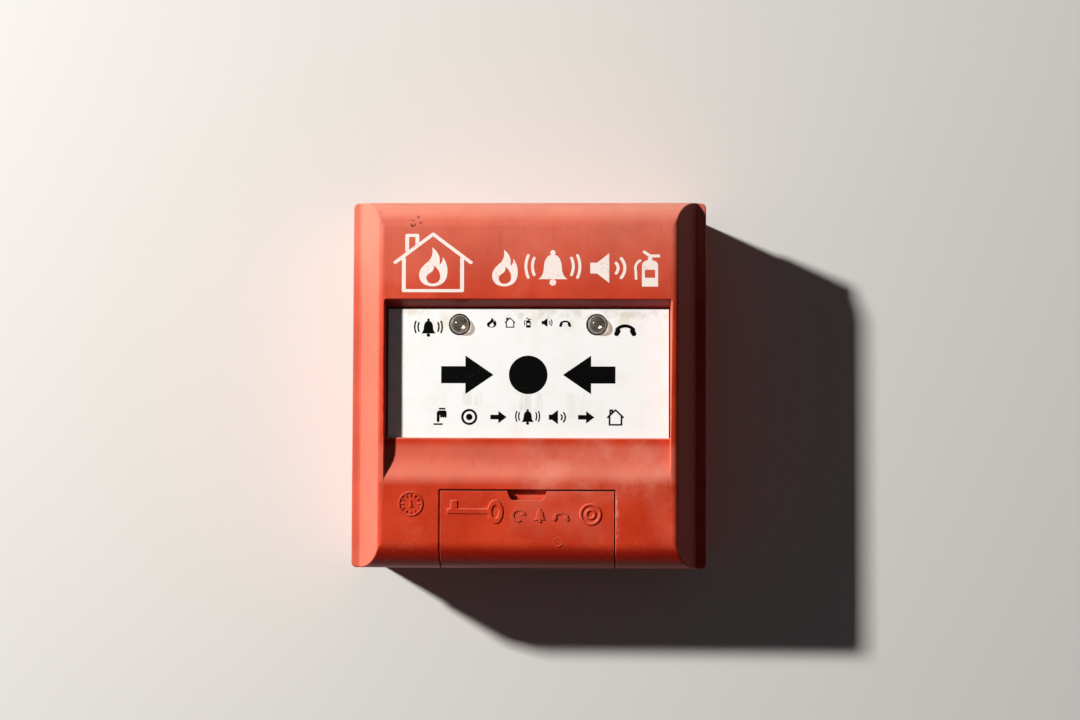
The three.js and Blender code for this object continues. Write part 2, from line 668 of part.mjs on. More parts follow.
// The pocket's own walls: floor, web, top wall, and the sides that carry the hinge.
function pocketWalls() {
  const inX = FLAP_HALF + GAP - 0.1;
  const outX = FLAP_HALF + GAP + WALL;
  const y = [POCKET_FLOOR.bottom, POCKET_TOP + WALL - 0.2];
  const floor = box([-outX, outX], y, [POCKET_FLOOR.rear, POCKET_FLOOR.front]);
  const aboveChassis = CHASSIS.front + 0.4;
  const web = box([-outX, outX], [POCKET_FLOOR.bottom, -42.2], [aboveChassis, POCKET_FLOOR.front]);
  const top = box([-outX, outX], [POCKET_TOP, y[1]], [POCKET_FLOOR.rear, COVER_FRONT]);
  const sides = pairOfBoxes([inX, outX], y, [POCKET_FLOOR.rear, COVER_FRONT]);
  const below = [-COVER_HEIGHT / 2, CHASSIS.bottom - GAP];
  const hingeCheeks = pairOfBoxes([inX, outX], below, [27, COVER_FRONT]);
  return union([floor, web, top, sides, hingeCheeks]);
}

// Snap tabs on the cover's rear edge, hooked into the back box's pockets.
function snapTab(side) {
  const range = (a, b) => [side * a, side * b].sort((p, q) => p - q);
  const x = [SNAP.from, SNAP.to];
  const outside = BOX_HEIGHT / 2 - WALL - 0.4;
  const inside = outside - 1.5;
  const rootZ = [COVER_REAR + GAP, COVER_REAR + 2.7];
  const arm = pairOfBoxes(x, range(inside, outside), [SNAP.hookRear - 1, rootZ[1]]);
  const root = pairOfBoxes(x, range(inside, COVER_HEIGHT / 2 - 1.2), rootZ);
  const hook = pairOfBoxes(x, range(outside - 0.2, outside + 1.1), [SNAP.hookRear, SNAP.hookFront]);
  return union([arm, root, hook]);
}

function coverBosses() {
  const z = [CHASSIS.front + GAP, COVER_FRONT];
  const places = [-1, 1].flatMap((side) => [-1, 1].map((end) => [side, end]));
  const at = ([side, end]) => [side * CHASSIS_SCREW.x, end * CHASSIS_SCREW.y];
  const bosses = places.map((place) => barZ(3.2, ...at(place), z, SMALL_ROUND));
  const drilled = [CHASSIS.front - 1, COVER_RIM + 3];
  const pilots = places.map((place) => barZ(1.5, ...at(place), drilled, SMALL_ROUND));
  return { bosses: union(bosses), pilots: union(pilots) };
}

function frontCover() {
  const form = coverForm();
  const { bosses, pilots } = coverBosses();
  const inside = union([recessWalls(), pocketWalls(), bosses]).intersect(form);
  const throughFloor = [POCKET_FLOOR.rear - 6, POCKET_FLOOR.front + 2.5];
  const hingeEnd = FLAP_HALF + 3;
  const holes = union([
    pilots,
    barZ(BARREL.radius + GAP, BARREL.x, BARREL.y, throughFloor),
    barZ(JACK.bush + GAP, JACK.x, JACK.y, throughFloor),
    barX(HINGE.bore, [-hingeEnd, hingeEnd], HINGE.y, HINGE.z, SMALL_ROUND),
  ]);
  return form
    .subtract(coverHollow())
    .add(inside)
    .subtract(union([recessCut(), flapCut(), holes]))
    .add(union([flapRest(), snapTab(1), snapTab(-1)]));
}

// ---- press plate ------------------------------------------------------------------------

function pressPlate() {
  const x = WINDOW.half - GAP;
  const bottom = WINDOW.bottom - 1;
  const top = WINDOW.top - 0.4;
  const root = PLATE_REAR + 0.1;
  const rimRear = PLATE_REAR - PLATE_RIM.depth;
  const inset = PLATE_RIM.wall;
  const sheet = box([-x, x], [bottom, top], [PLATE_REAR, PLATE_FRONT]);
  const rim = box([-x, x], [bottom, top], [rimRear, root]).subtract(
    box([inset - x, x - inset], [bottom + inset, top - inset], [rimRear - 1, PLATE_FRONT]),
  );
  const { x: postX, y: postY, radius, end } = PLATE_POST;
  const posts = [-1, 1].map((side) => barZ(radius, side * postX, postY, [end, root], SMALL_ROUND));
  const stem = barZ(STEM.radius, 0, STEM.y, [STEM.end, root], SMALL_ROUND);
  const lugX = [LATCH.left + 0.2, LATCH.right - GAP];
  const catchLug = box(lugX, [bottom + 0.3, bottom + 3.3], [LATCH.front + 0.4, root]);
  const catchNotch = box([lugX[0] - 1, lugX[1] + 1], [bottom - 1, bottom + 1.5], [36, 37.8]);
  const lampHoles = [-1, 1].map((side) =>
    barZ(LED.flange, side * LED.x, LED.y, [rimRear, PLATE_FRONT + 1], ROUND),
  );
  const catchHook = catchLug.subtract(catchNotch);
  return union([sheet, rim, ...posts, stem, catchHook]).subtract(union(lampHoles));
}

function plateAndSprings() {
  const group = new THREE.Group();
  group.add(piece("press_plate", "whitePlastic", pressPlate()));
  const seat = CHASSIS.front + GAP;
  const length = PLATE_REAR - GAP - seat;
  const { radius, wire, turns } = PLATE_SPRING;
  [-1, 1].forEach((side, i) => {
    const coil = spring(radius, wire, length, turns);
    const place = [side * PLATE_POST.x, PLATE_POST.y, seat];
    group.add(piece(`plate_spring_${i + 1}`, "steel", coil, place));
  });
  return group;
}

// ---- flap -------------------------------------------------------------------------------

// The flap's side view: its front, the roll, the underside, and the lip round the hinge line.
function flapProfile() {
  const centre = -(COVER_HEIGHT / 2 - ROLL);
  const rollZ = COVER_FRONT - COVER_RIM;
  const underside = -COVER_HEIGHT / 2;
  const lipTop = HINGE.z - HINGE.knuckle + 1.5;
  const shape = new THREE.Shape();
  shape.moveTo(FLAP_TOP, COVER_FRONT - WALL);
  shape.lineTo(FLAP_TOP, COVER_FRONT);
  shape.absellipse(centre, COVER_RIM, ROLL, rollZ, Math.PI / 2, Math.PI, false);
  shape.lineTo(underside, HINGE.z);
  shape.absarc(HINGE.y, HINGE.z, HINGE.knuckle, Math.PI, Math.PI * 1.5, false);
  shape.lineTo(HINGE.y, lipTop);
  shape.lineTo(underside + WALL, lipTop);
  shape.absellipse(centre, COVER_RIM, ROLL - WALL, rollZ - WALL, Math.PI, Math.PI / 2, true);
  return shape;
}

// What the finger notch takes out of the flap's top edge.
function notchCut() {
  const { half, floorHalf, lean, depth } = NOTCH;
  const floor = FLAP_TOP - depth;
  const shape = new THREE.Shape();
  shape.moveTo(-half, FLAP_TOP + 1);
  shape.lineTo(-half, FLAP_TOP);
  shape.quadraticCurveTo(lean - half, floor, -floorHalf, floor);
  shape.lineTo(floorHalf, floor);
  shape.quadraticCurveTo(half - lean, floor, half, FLAP_TOP);
  shape.lineTo(half, FLAP_TOP + 1);
  return solid(extrudeZ(shape, [COVER_FRONT - WALL - 1, COVER_FRONT + 1]));
}

function ellipseBar(x, y, halfWidth, halfHeight, z) {
  const shape = new THREE.Shape();
  shape.absellipse(x, y, halfWidth, halfHeight, 0, 2 * Math.PI);
  return solid(extrudeZ(shape, z));
}

// The raised key and jack symbols that say what is behind the flap.
function flapRelief() {
  const z = [COVER_FRONT - 0.2, COVER_FRONT + RELIEF];
  const deeper = [z[0] - 1, z[1] + 1];
  const { shaft, tooth, y, half, tall } = KEY_MARK;
  const { x: bowX, y: bowY, wide, high, holeWide, holeHigh } = BOW_MARK;
  const bowHole = ellipseBar(bowX, bowY, holeWide, holeHigh, deeper);
  const { x, y: jackY, outer, inner, line } = JACK_MARK;
  return union([
    box(shaft, [y - half, y + half], z),
    box(tooth, [y, y + tall], z),
    ellipseBar(bowX, bowY, wide, high, z).subtract(bowHole),
    ringZ(outer, outer - line, x, jackY, z),
    ringZ(inner, inner - line, x, jackY, z, SMALL_ROUND),
  ]);
}

function flap() {
  const leaf = prismX(flapProfile(), FLAP_HALF);
  const knuckleEnd = FLAP_HALF - 5;
  const knuckles = [
    barX(HINGE.knuckle, [-FLAP_HALF, -knuckleEnd], HINGE.y, HINGE.z),
    barX(HINGE.knuckle, [knuckleEnd, FLAP_HALF], HINGE.y, HINGE.z),
  ];
  const tip = FLAP_HALF + 1.8;
  const root = FLAP_HALF - 1;
  const trunnions = [
    barX(HINGE.trunnion, [-tip, -root], HINGE.y, HINGE.z, SMALL_ROUND),
    barX(HINGE.trunnion, [root, tip], HINGE.y, HINGE.z, SMALL_ROUND),
  ];
  const inside = COVER_FRONT - WALL;
  const snapNibs = pairOfBoxes([12, 15], [FLAP_TOP - 1.5, FLAP_TOP], [inside - 1.5, inside + 0.1]);
  const parts = [leaf.subtract(notchCut()), ...knuckles, ...trunnions, snapNibs, flapRelief()];
  return union(parts);
}

// ---- reset lock -------------------------------------------------------------------------

function resetBarrel() {
  const { head, radius, shaft, pivot, face } = BARREL;
  const turnedBody = union([
    barZ(head, 0, 0, [POCKET_FLOOR.front + GAP, face]),
    barZ(radius, 0, 0, [CAM.front + GAP, face]),
    barZ(shaft, 0, 0, [CAM.rear, face], SMALL_ROUND),
    barZ(pivot, 0, 0, [CHASSIS.rear + 0.5, CAM.rear + 0.1], SMALL_ROUND),
  ]);
  const { slotHalf, reach, rear } = KEYHOLE;
  const bore = barZ(KEYHOLE.radius, 0, 0, [rear, face + 1], SMALL_ROUND);
  const slot = box([-slotHalf, slotHalf], [-reach, reach], [rear + 1.4, face + 1]);
  return turnedBody.subtract(bore.add(slot));
}

// The spiral cam: its radius grows over a quarter turn, so that it pushes the latch down, and
// falls away again on the far side.
function resetCam() {
  const outline = [];
  const steps = 32;
  const quarter = Math.PI / 2;
  const fallFrom = 1.9;
  const fallTo = 1.35 * Math.PI;
  for (let i = 0; i < steps; i++) {
    const angle = (i / steps) * 4 * quarter;
    const fromDown = (angle + quarter) % (4 * quarter);
    const rise = Math.min(fromDown / quarter, 1);
    const fall = THREE.MathUtils.clamp((fromDown - fallFrom) / (fallTo - fallFrom), 0, 1);
    const radius = CAM.low + (CAM.high - CAM.low) * rise * (1 - fall);
    outline.push([radius * Math.cos(angle), radius * Math.sin(angle)]);
  }
  const disc = solid(extrudeZ(polygon(outline), [CAM.rear, CAM.front]));
  return disc.subtract(barZ(BARREL.shaft + GAP, 0, 0, [CAM.rear - 1, CAM.front + 1], SMALL_ROUND));
}

function barrelClip() {
  const { radius, front, mouth } = CLIP;
  const ring = ringZ(radius, BARREL.radius + GAP, 0, 0, [CAM.front + GAP, front]);
  return ring.subtract(box([-mouth, mouth], [0, radius + 1], [CAM.front, front + 1]));
}

// The latch: a nose by the plate's catch, a foot under the cam and a tab on the spring.
function latchSlider() {
  const { rear, front, left, right, top, foot } = LATCH;
  const z = [rear, front];
  const footTop = BARREL.y - CAM.low - 0.5;
  const footBottom = footTop - foot;
  const tabY = [LATCH_SPRING.to + GAP, LATCH_SPRING.to + 2 + GAP];
  return union([
    box([left, right], [footBottom, top], z),
    box([left, right], [top - 0.1, top + 1.6], [rear + 1.7, front]),
    box([left, BARREL.x + CAM.high], [footBottom, footTop], z),
    box([LATCH_SPRING.x - 2.2, left + 0.1], tabY, z),
  ]);
}

function latchSpring() {
  const { from, to, radius, wire, turns } = LATCH_SPRING;
  return spring(radius, wire, to - from, turns);
}

function resetLock() {
  const group = new THREE.Group();
  const place = [BARREL.x, BARREL.y, 0];
  group.add(piece("reset_barrel", "steel", resetBarrel(), place));
  group.add(piece("reset_cam", "ivoryPlastic", resetCam(), place));
  group.add(piece("barrel_clip", "steel", barrelClip(), place));
  group.add(piece("latch_slider", "ivoryPlastic", latchSlider()));
  const seat = [LATCH_SPRING.x, LATCH_SPRING.from, LATCH_SPRING.z];
  const coil = piece("latch_spring", "steel", latchSpring(), seat);
  coil.rotation.x = -Math.PI / 2;
  group.add(coil);
  return group;
}

// ---- telephone jack ---------------------------------------------------------------------

function phoneJack() {
  const block = box([-5.5, 5.5], [-5.5, 5], [21.5, POCKET_FLOOR.rear - GAP]);
  const bush = barZ(JACK.bush, 0, 0, [35, 39.6]);
  return block.add(bush).subtract(barZ(JACK.bore, 0, 0, [20, 41]));
}

function jackNut() {
  const z = [POCKET_FLOOR.front + GAP, 39.9];
  const hexagon = barZ(5.7, 0, 0, z, 6);
  return hexagon.subtract(barZ(JACK.bush + GAP, 0, 0, [36, 41]));
}

// A contact leaf along the jack's underside, its tail bent for the wire.
function jackContact() {
  const leaf = box([-1.3, 1.3], [-0.4, 0], [22, 33]);
  const tail = box([-0.8, 0.8], [-1.6, 0], [21.6, 22]);
  return leaf.add(tail);
}

// A lead from a contact's tail to the board, inside the front unit.
function jackWire(x, side) {
  const route = [
    [x, -42.4, 21.2],
    [x - 1, -43, 19.4],
    [x - 4, -41.6, 18.4],
    [8 + side, -38, 19.5],
    [7.4 + side, -33, 23],
    [7 + side, -28, 26.6],
    [6.6 + side, -24, 27.3],
    [6.2 + side, -20.5, 27.2],
    [6 + side, -18.8, 26.6],
  ];
  const curve = new THREE.CatmullRomCurve3(route.map((point) => new THREE.Vector3(...point)));
  return rod(curve, 0.5, 20, 6);
}

function telephoneJack() {
  const group = new THREE.Group();
  const place = [JACK.x, JACK.y, 0];
  group.add(piece("phone_jack", "blackPlastic", phoneJack(), place));
  group.add(piece("jack_nut", "steel", jackNut(), place));
  const finishes = ["redWire", "blackWire"];
  [-2.4, 2.4].forEach((offset, i) => {
    const x = JACK.x + offset;
    const contactPlace = [x, JACK.y - 5.5 - GAP, 0];
    group.add(piece(`jack_contact_${i + 1}`, "brass", jackContact(), contactPlace));
    group.add(piece(`jack_wire_${i + 1}`, finishes[i], jackWire(x, i * 1.6 - 0.8)));
  });
  return group;
}

// ---- assembly ---------------------------------------------------------------------------

const callPoint = new THREE.Group();
callPoint.rotation.x = Math.PI / 2;
callPoint.add(
  piece("back_box", "redPlastic", backBox()),
  terminals(),
  electronics(),
  chassis(),
  piece("front_cover", "redPlastic", frontCover()),
  plateAndSprings(),
  piece("service_flap", "redPlastic", flap()),
  resetLock(),
  telephoneJack(),
);

export default callPoint;
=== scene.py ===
"""Visual model of a wall-mounted manual fire alarm call point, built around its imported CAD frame.

The row frame is in metres: +X to the right, +Z up, the front towards -Y, the wall at Y = 0. Flat
artwork is drawn in millimetres as (x to the right, y up) and then laid on a face of the CAD.
"""

import json
import math

import bmesh
import bpy
from mathutils import Matrix, Vector
from mathutils.bvhtree import BVHTree
from mathutils.geometry import delaunay_2d_cdt


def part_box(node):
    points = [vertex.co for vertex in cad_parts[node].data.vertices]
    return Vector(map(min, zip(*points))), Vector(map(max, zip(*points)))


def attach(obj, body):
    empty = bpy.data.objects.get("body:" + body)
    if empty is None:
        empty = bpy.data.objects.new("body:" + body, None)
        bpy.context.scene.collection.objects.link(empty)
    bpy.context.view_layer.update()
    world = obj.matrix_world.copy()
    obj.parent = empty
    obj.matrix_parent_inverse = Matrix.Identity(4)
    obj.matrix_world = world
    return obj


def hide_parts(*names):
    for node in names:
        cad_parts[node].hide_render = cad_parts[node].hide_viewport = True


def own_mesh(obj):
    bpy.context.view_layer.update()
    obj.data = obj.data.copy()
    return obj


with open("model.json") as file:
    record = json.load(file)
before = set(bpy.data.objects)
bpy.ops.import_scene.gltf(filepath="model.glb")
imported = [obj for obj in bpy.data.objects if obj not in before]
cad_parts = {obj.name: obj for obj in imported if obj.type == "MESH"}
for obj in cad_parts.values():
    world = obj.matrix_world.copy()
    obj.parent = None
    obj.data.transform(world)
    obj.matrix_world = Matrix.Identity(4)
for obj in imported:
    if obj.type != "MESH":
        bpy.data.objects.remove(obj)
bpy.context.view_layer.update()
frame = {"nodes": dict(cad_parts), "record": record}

MM = 0.001
BODY_OF = {n: b for b, names in frame["record"]["behaviour"]["bodies"].items() for n in names}
SLOT_OF = {s["node"]: s["material_slot"] for s in frame["record"]["subparts"]}

COVER_LOW, COVER_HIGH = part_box("front_cover")
PLATE_LOW, PLATE_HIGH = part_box("press_plate")
FRONT_Y = COVER_LOW.y
PLATE_Y = PLATE_LOW.y
LAMPS = ("alarm_led", "phone_led")

# Where the front has worn, as (left, right), (low, high) in millimetres from its middle.
WIPED_AREA = (2, 33), (-26, -16)
DUSTY_RAMP = (-38, 38), (-25, -17.5)
STRESSED_SEAM = (23.6, 23.7), (-40, -30)
SCUFFED_SPOT = (-31.5, -28.4), (42, 44.6)
DOT_DRIP = (-3.6, 3.2), (-6.5, -3)
RIGHT_ARROW_DRIP = (9.5, 15), (-8.5, -3)
LEFT_ARROW_DRIP = (-17, -13), (-5, -2.4)
SMEARED_TOP = (-6, 34), (18.2, 19.2)
# Those areas cover the front to the first of these depths, and fade out by the second.
FRONT_WEAR_DEPTH = 14, 18


# ---- shader building --------------------------------------------------------------------


def srgb(red, green, blue):
    """A colour given on the 0-255 scale, as the linear colour that shaders take."""
    def linear(value):
        value /= 255
        return value / 12.92 if value <= 0.04045 else ((value + 0.055) / 1.055) ** 2.4
    return (linear(red), linear(green), linear(blue), 1.0)


class Shader:
    """A material with one Principled shader, and short names for the nodes that feed it."""

    def __init__(self, name, **sockets):
        self.material = bpy.data.materials.new(name)
        self.material.use_nodes = True
        self.tree = self.material.node_tree
        self.principled = self.tree.nodes["Principled BSDF"]
        for socket, value in sockets.items():
            self.set(socket.replace("_", " "), value)
        coords = self.node("TexCoord")
        self.place = coords.outputs["Object"]
        self.normal = coords.outputs["Normal"]

    def node(self, kind, inputs=None, **settings):
        made = self.tree.nodes.new("ShaderNode" + kind)
        for key, value in settings.items():
            setattr(made, key, value)
        for key, value in (inputs or {}).items():
            self.feed(made.inputs[key], value)
        return made

    def feed(self, socket, value):
        if isinstance(value, bpy.types.NodeSocket):
            self.tree.links.new(value, socket)
        else:
            socket.default_value = value

    def set(self, socket, value):
        self.feed(self.principled.inputs[socket], value)

    def noise(self, size_mm, detail=3.0, roughness=0.55, stretch=None):
        """Smooth noise from 0 to 1 whose blots are about size_mm across."""
        place = self.place
        if stretch:
            place = self.node("Mapping", {"Vector": place, "Scale": stretch}).outputs[0]
        inputs = {"Vector": place, "Scale": 1 / (size_mm * MM), "Detail": detail,
                  "Roughness": roughness}
        return self.node("TexNoise", inputs).outputs["Fac"]

    def ramp(self, value, low, high):
        """0 below low, 1 above high, and smooth between."""
        inputs = {"Value": value, "From Min": low, "From Max": high}
        return self.node("MapRange", inputs, interpolation_type="SMOOTHSTEP").outputs[0]

    def math(self, operation, a, b=0.0):
        return self.node("Math", {0: a, 1: b}, operation=operation).outputs[0]

    def mix(self, amount, a, b):
        made = self.node("Mix", {0: amount, 6: a, 7: b}, data_type="RGBA")
        return made.outputs[2]

    def span(self, amount, low, high):
        """A value that goes from low to high as amount goes from 0 to 1."""
        return self.node("MapRange", {"Value": amount, "To Min": low, "To Max": high}).outputs[0]

    def bump(self, height, depth_mm, strength=1.0, onto=None):
        inputs = {"Height": height, "Distance": depth_mm * MM, "Strength": strength}
        if onto is not None:
            inputs["Normal"] = onto
        return self.node("Bump", inputs).outputs["Normal"]

    def edges(self, radius_mm):
        """1 on convex and concave edges, 0 on flat faces."""
        rounded = self.node("Bevel", {"Radius": radius_mm * MM}, samples=4).outputs[0]
        plain = self.node("NewGeometry").outputs["Normal"]
        dot = self.node("VectorMath", {0: rounded, 1: plain}, operation="DOT_PRODUCT")
        return self.ramp(self.math("SUBTRACT", 1.0, dot.outputs["Value"]), 0.02, 0.16)

    def axis(self, vector, name):
        return self.node("SeparateXYZ", {0: vector}).outputs[name]

    def between(self, value, low_mm, high_mm, soft_mm):
        """1 where a place lies between two limits, fading to 0 over soft_mm outside them."""
        rise = self.ramp(value, (low_mm - soft_mm) * MM, low_mm * MM)
        fall = self.ramp(value, (high_mm + soft_mm) * MM, high_mm * MM)
        return self.math("MULTIPLY", rise, fall)

    def patch(self, x_mm, z_mm, soft_mm):
        """1 inside a soft-edged rectangle of the object's front, 0 outside it and behind it."""
        across = self.between(self.axis(self.place, "X"), *x_mm, soft_mm)
        inside = self.math("MULTIPLY", across, self.between(self.axis(self.place, "Z"), *z_mm, soft_mm))
        full, gone = FRONT_WEAR_DEPTH
        front = self.ramp(self.axis(self.place, "Y"), FRONT_Y + gone * MM, FRONT_Y + full * MM)
        return self.math("MULTIPLY", inside, front)

    def facing(self, direction, low, high):
        """1 where the surface faces a direction such as "+X" or "-Z", from its sign and axis."""
        sign, axis = direction
        toward = self.axis(self.normal, axis)
        if sign == "-":
            toward = self.math("MULTIPLY", toward, -1.0)
        return self.ramp(toward, low, high)

    def stain(self, colour, amount, strength, tint):
        return self.mix(self.math("MULTIPLY", amount, strength), colour, tint)

    def open_where(self, factor, tint=(1.0, 1.0, 1.0, 1.0)):
        """Lets rays straight through, tinted, where factor is 1."""
        clear = self.node("BsdfTransparent", {"Color": tint}).outputs[0]
        shown = self.node("MixShader", {0: factor, 1: self.principled.outputs[0], 2: clear})
        self.feed(self.tree.nodes["Material Output"].inputs["Surface"], shown.outputs[0])


# ---- materials --------------------------------------------------------------------------

# Pale chalky red: the colour of sun-faded plastic, and also a painted highlight on the lit left side.
CHALK_AND_SHEEN = srgb(238, 160, 138)


def weathered_red_and_painted_light():
    """Outdoor red ABS: chalky where the sun reaches it, still red where it doesn't, and worn, with
    painted light: a paler lit left side and a darker shaded right side and underside.
    """
    s = Shader("weathered_red_plastic", Specular_IOR_Level=0.13)
    deep = srgb(190, 52, 24)
    lively = srgb(208, 64, 34)
    blotches = s.noise(14, 4, 0.6)
    colour = s.mix(s.ramp(blotches, 0.35, 0.68), deep, lively)
    patchy = s.span(s.noise(6, 5, 0.65), 0.55, 1.0)
    fade = s.math("MULTIPLY", s.facing("+Z", 0.12, 0.9), patchy)
    specks = s.ramp(s.noise(0.55, 2, 0.5), 0.64, 0.74)
    colour = sun_faded_and_painted_light(s, colour, fade, patchy)
    colour = worn(s, colour, specks, patchy)
    s.set("Base Color", colour)
    s.set("Roughness", s.span(s.math("ADD", fade, s.math("MULTIPLY", specks, 0.3)), 0.43, 0.66))
    grain = s.bump(s.noise(0.28, 2, 0.5), 0.02, 0.5)
    s.set("Normal", s.bump(s.noise(3.2, 2, 0.5), 0.06, 0.35, onto=grain))
    return s.material


def sun_faded_and_painted_light(s, colour, fade, patchy):
    """Chalk on the top and the header; paler chalk on the left side and left rim that is partly a
    painted highlight; and a darker fresh red on the back, which also serves as painted shade on the
    right side and the undersides.
    """
    # A dark fresh red: plastic the sun hasn't faded, and also painted shade on the right side and the
    # undersides.
    unfaded_and_shaded_red = srgb(150, 22, 8)
    colour = s.stain(colour, fade, 0.72, CHALK_AND_SHEEN)
    header = s.ramp(s.axis(s.place, "Z"), 16 * MM, COVER_HIGH.z)
    colour = s.stain(colour, s.math("MULTIPLY", header, patchy), 0.42, CHALK_AND_SHEEN)
    haze = s.ramp(s.noise(22, 5, 0.62), 0.5, 0.72)
    colour = s.stain(colour, haze, 0.12, CHALK_AND_SHEEN)
    # Painted light: the left rim is made paler where the key light falls on it.
    painted_lit_left_rim = s.ramp(s.axis(s.place, "X"), COVER_LOW.x + 3 * MM, COVER_LOW.x + 1.5 * MM)
    colour = s.stain(colour, painted_lit_left_rim, 0.22, CHALK_AND_SHEEN)
    # Partly sun fading, partly a painted highlight: faces turned to the left, towards the light, are
    # made paler.
    colour = s.stain(colour, s.facing("-X", 0.4, 0.85), 0.38, CHALK_AND_SHEEN)
    # Partly unfaded plastic, partly painted shade: faces turned to the right, away from the light, are
    # made a darker red.
    colour = s.stain(colour, s.facing("+X", 0.4, 0.85), 0.85, unfaded_and_shaded_red)
    colour = s.stain(colour, s.facing("+Y", 0.4, 0.85), 0.85, unfaded_and_shaded_red)
    # Partly unfaded plastic, partly painted shade: faces turned down are made a darker red.
    return s.stain(colour, s.facing("-Z", 0.06, 0.5), 0.9, unfaded_and_shaded_red)


def worn(s, colour, specks, patchy):
    """Wiped dust, specks, runs, stressed plastic by the flap, a scuff, and pale edges."""
    grime = srgb(84, 26, 16)
    wiped = s.ramp(s.noise(9, 4, 0.6), 0.34, 0.74)
    colour = s.stain(colour, s.math("MULTIPLY", s.patch(*WIPED_AREA, 7), wiped), 0.36, CHALK_AND_SHEEN)
    colour = s.stain(colour, s.math("MULTIPLY", s.patch(*DUSTY_RAMP, 2.5), patchy), 0.3, CHALK_AND_SHEEN)
    colour = s.stain(colour, specks, 0.12, CHALK_AND_SHEEN)
    runs = s.ramp(s.noise(1.6, 3, 0.6, stretch=(1, 1, 0.12)), 0.6, 0.78)
    colour = s.stain(colour, runs, 0.16, grime)
    stress = s.ramp(s.noise(0.9, 2, 0.5, stretch=(1, 1, 0.6)), 0.3, 0.75)
    colour = s.stain(colour, s.math("MULTIPLY", s.patch(*STRESSED_SEAM, 1.0), stress), 0.6, CHALK_AND_SHEEN)
    scuff = s.ramp(s.noise(0.9, 3, 0.6), 0.56, 0.62)
    colour = s.stain(colour, s.math("MULTIPLY", s.patch(*SCUFFED_SPOT, 0.5), scuff), 0.75, grime)
    pale_edges = s.math("MULTIPLY", s.edges(0.35), s.ramp(s.noise(2.5, 4, 0.7), 0.42, 0.6))
    return s.stain(colour, pale_edges, 0.3, CHALK_AND_SHEEN)


def moulded(name, colour, tint, roughness=0.5, grain_mm=0.3):
    """Plain moulded plastic with a fine grain, faint flow marks and softly worn edges."""
    s = Shader(name)
    flow = s.ramp(s.noise(9, 4, 0.6), 0.35, 0.7)
    base = s.mix(s.math("MULTIPLY", flow, 0.5), colour, tint)
    wear = s.math("MULTIPLY", s.edges(0.2), 0.25)
    s.set("Base Color", s.mix(wear, base, tint))
    s.set("Roughness", s.span(s.noise(1.5, 3, 0.6), roughness - 0.06, roughness + 0.1))
    s.set("Normal", s.bump(s.noise(grain_mm, 2, 0.5), 0.015, 0.5))
    return s.material


def stained_white():
    """The push plate's white plastic, with a faint beige film, specks, drips and smears."""
    s = Shader("stained_white_plastic", Specular_IOR_Level=0.45)
    clean = srgb(248, 249, 249)
    film = srgb(226, 216, 196)
    dirt = srgb(160, 134, 112)
    height = s.axis(s.place, "Z")
    near_top = s.ramp(height, PLATE_HIGH.z - 9 * MM, PLATE_HIGH.z)
    blots = s.ramp(s.noise(7, 5, 0.65), 0.44, 0.7)
    film_amount = s.math("MULTIPLY", blots, s.span(near_top, 0.18, 0.8))
    colour = s.mix(film_amount, clean, film)
    runs = s.ramp(s.noise(1.1, 4, 0.6, stretch=(1, 1, 0.1)), 0.6, 0.8)
    colour = s.mix(s.math("MULTIPLY", runs, s.span(near_top, 0.05, 0.4)), colour, film)
    dots = s.ramp(s.noise(0.6, 3, 0.6), 0.7, 0.76)
    colour = s.stain(colour, dots, 0.35, dirt)
    drips = s.ramp(s.noise(1.5, 3, 0.6, stretch=(1, 1, 0.15)), 0.36, 0.62)
    smears = s.ramp(s.noise(2.6, 4, 0.6), 0.42, 0.62)
    for area, kind, strength in ((DOT_DRIP, drips, 0.24), (RIGHT_ARROW_DRIP, drips, 0.14),
                                 (LEFT_ARROW_DRIP, drips, 0.18), (SMEARED_TOP, smears, 0.22)):
        colour = s.stain(colour, s.math("MULTIPLY", s.patch(*area, 1.2), kind), strength, dirt)
    s.set("Base Color", colour)
    s.set("Roughness", s.span(s.noise(2.2, 4, 0.6), 0.36, 0.54))
    s.set("Normal", s.bump(s.noise(0.35, 2, 0.5), 0.012, 0.4))
    return s.material


def printed(name, ink, under, worn):
    """Screen-printed ink that has worn through in specks to the colour under it."""
    s = Shader(name, Specular_IOR_Level=0.06)
    loss = s.ramp(s.noise(0.45, 4, 0.7), 0.62 - worn, 0.72)
    patches = s.ramp(s.noise(5, 4, 0.6), 0.4, 0.7)
    s.set("Base Color", s.mix(s.math("MULTIPLY", loss, patches), ink, under))
    s.set("Roughness", s.span(s.noise(1.2, 3, 0.5), 0.42, 0.6))
    s.set("Normal", s.bump(s.noise(0.25, 2, 0.5), 0.01, 0.4))
    return s.material


def plated(name, colour, tint, roughness=0.28, anisotropic=0.0):
    """Plated or drawn metal with a little tarnish and a fine grain."""
    s = Shader(name, Metallic=1.0, Anisotropic=anisotropic)
    tarnish = s.ramp(s.noise(1.8, 5, 0.65), 0.45, 0.75)
    s.set("Base Color", s.mix(s.math("MULTIPLY", tarnish, 0.7), colour, tint))
    s.set("Roughness", s.span(s.noise(0.5, 4, 0.6), roughness - 0.08, roughness + 0.16))
    s.set("Normal", s.bump(s.noise(0.12, 2, 0.5), 0.006, 0.4))
    return s.material


def clear_epoxy():
    """The lamps' clear epoxy, browned and clouded by the sun, open to the light on their cups."""
    s = Shader("clear_epoxy", IOR=1.5, Transmission_Weight=0.88, Coat_Weight=1.0, Coat_Roughness=0.06)
    cloud = s.ramp(s.noise(1.6, 2, 0.4), 0.3, 0.8)
    s.set("Base Color", s.mix(cloud, srgb(206, 198, 190), srgb(166, 156, 146)))
    s.set("Roughness", s.span(cloud, 0.04, 0.1))
    s.open_where(s.node("LightPath").outputs["Is Shadow Ray"], srgb(206, 198, 190))
    return s.material


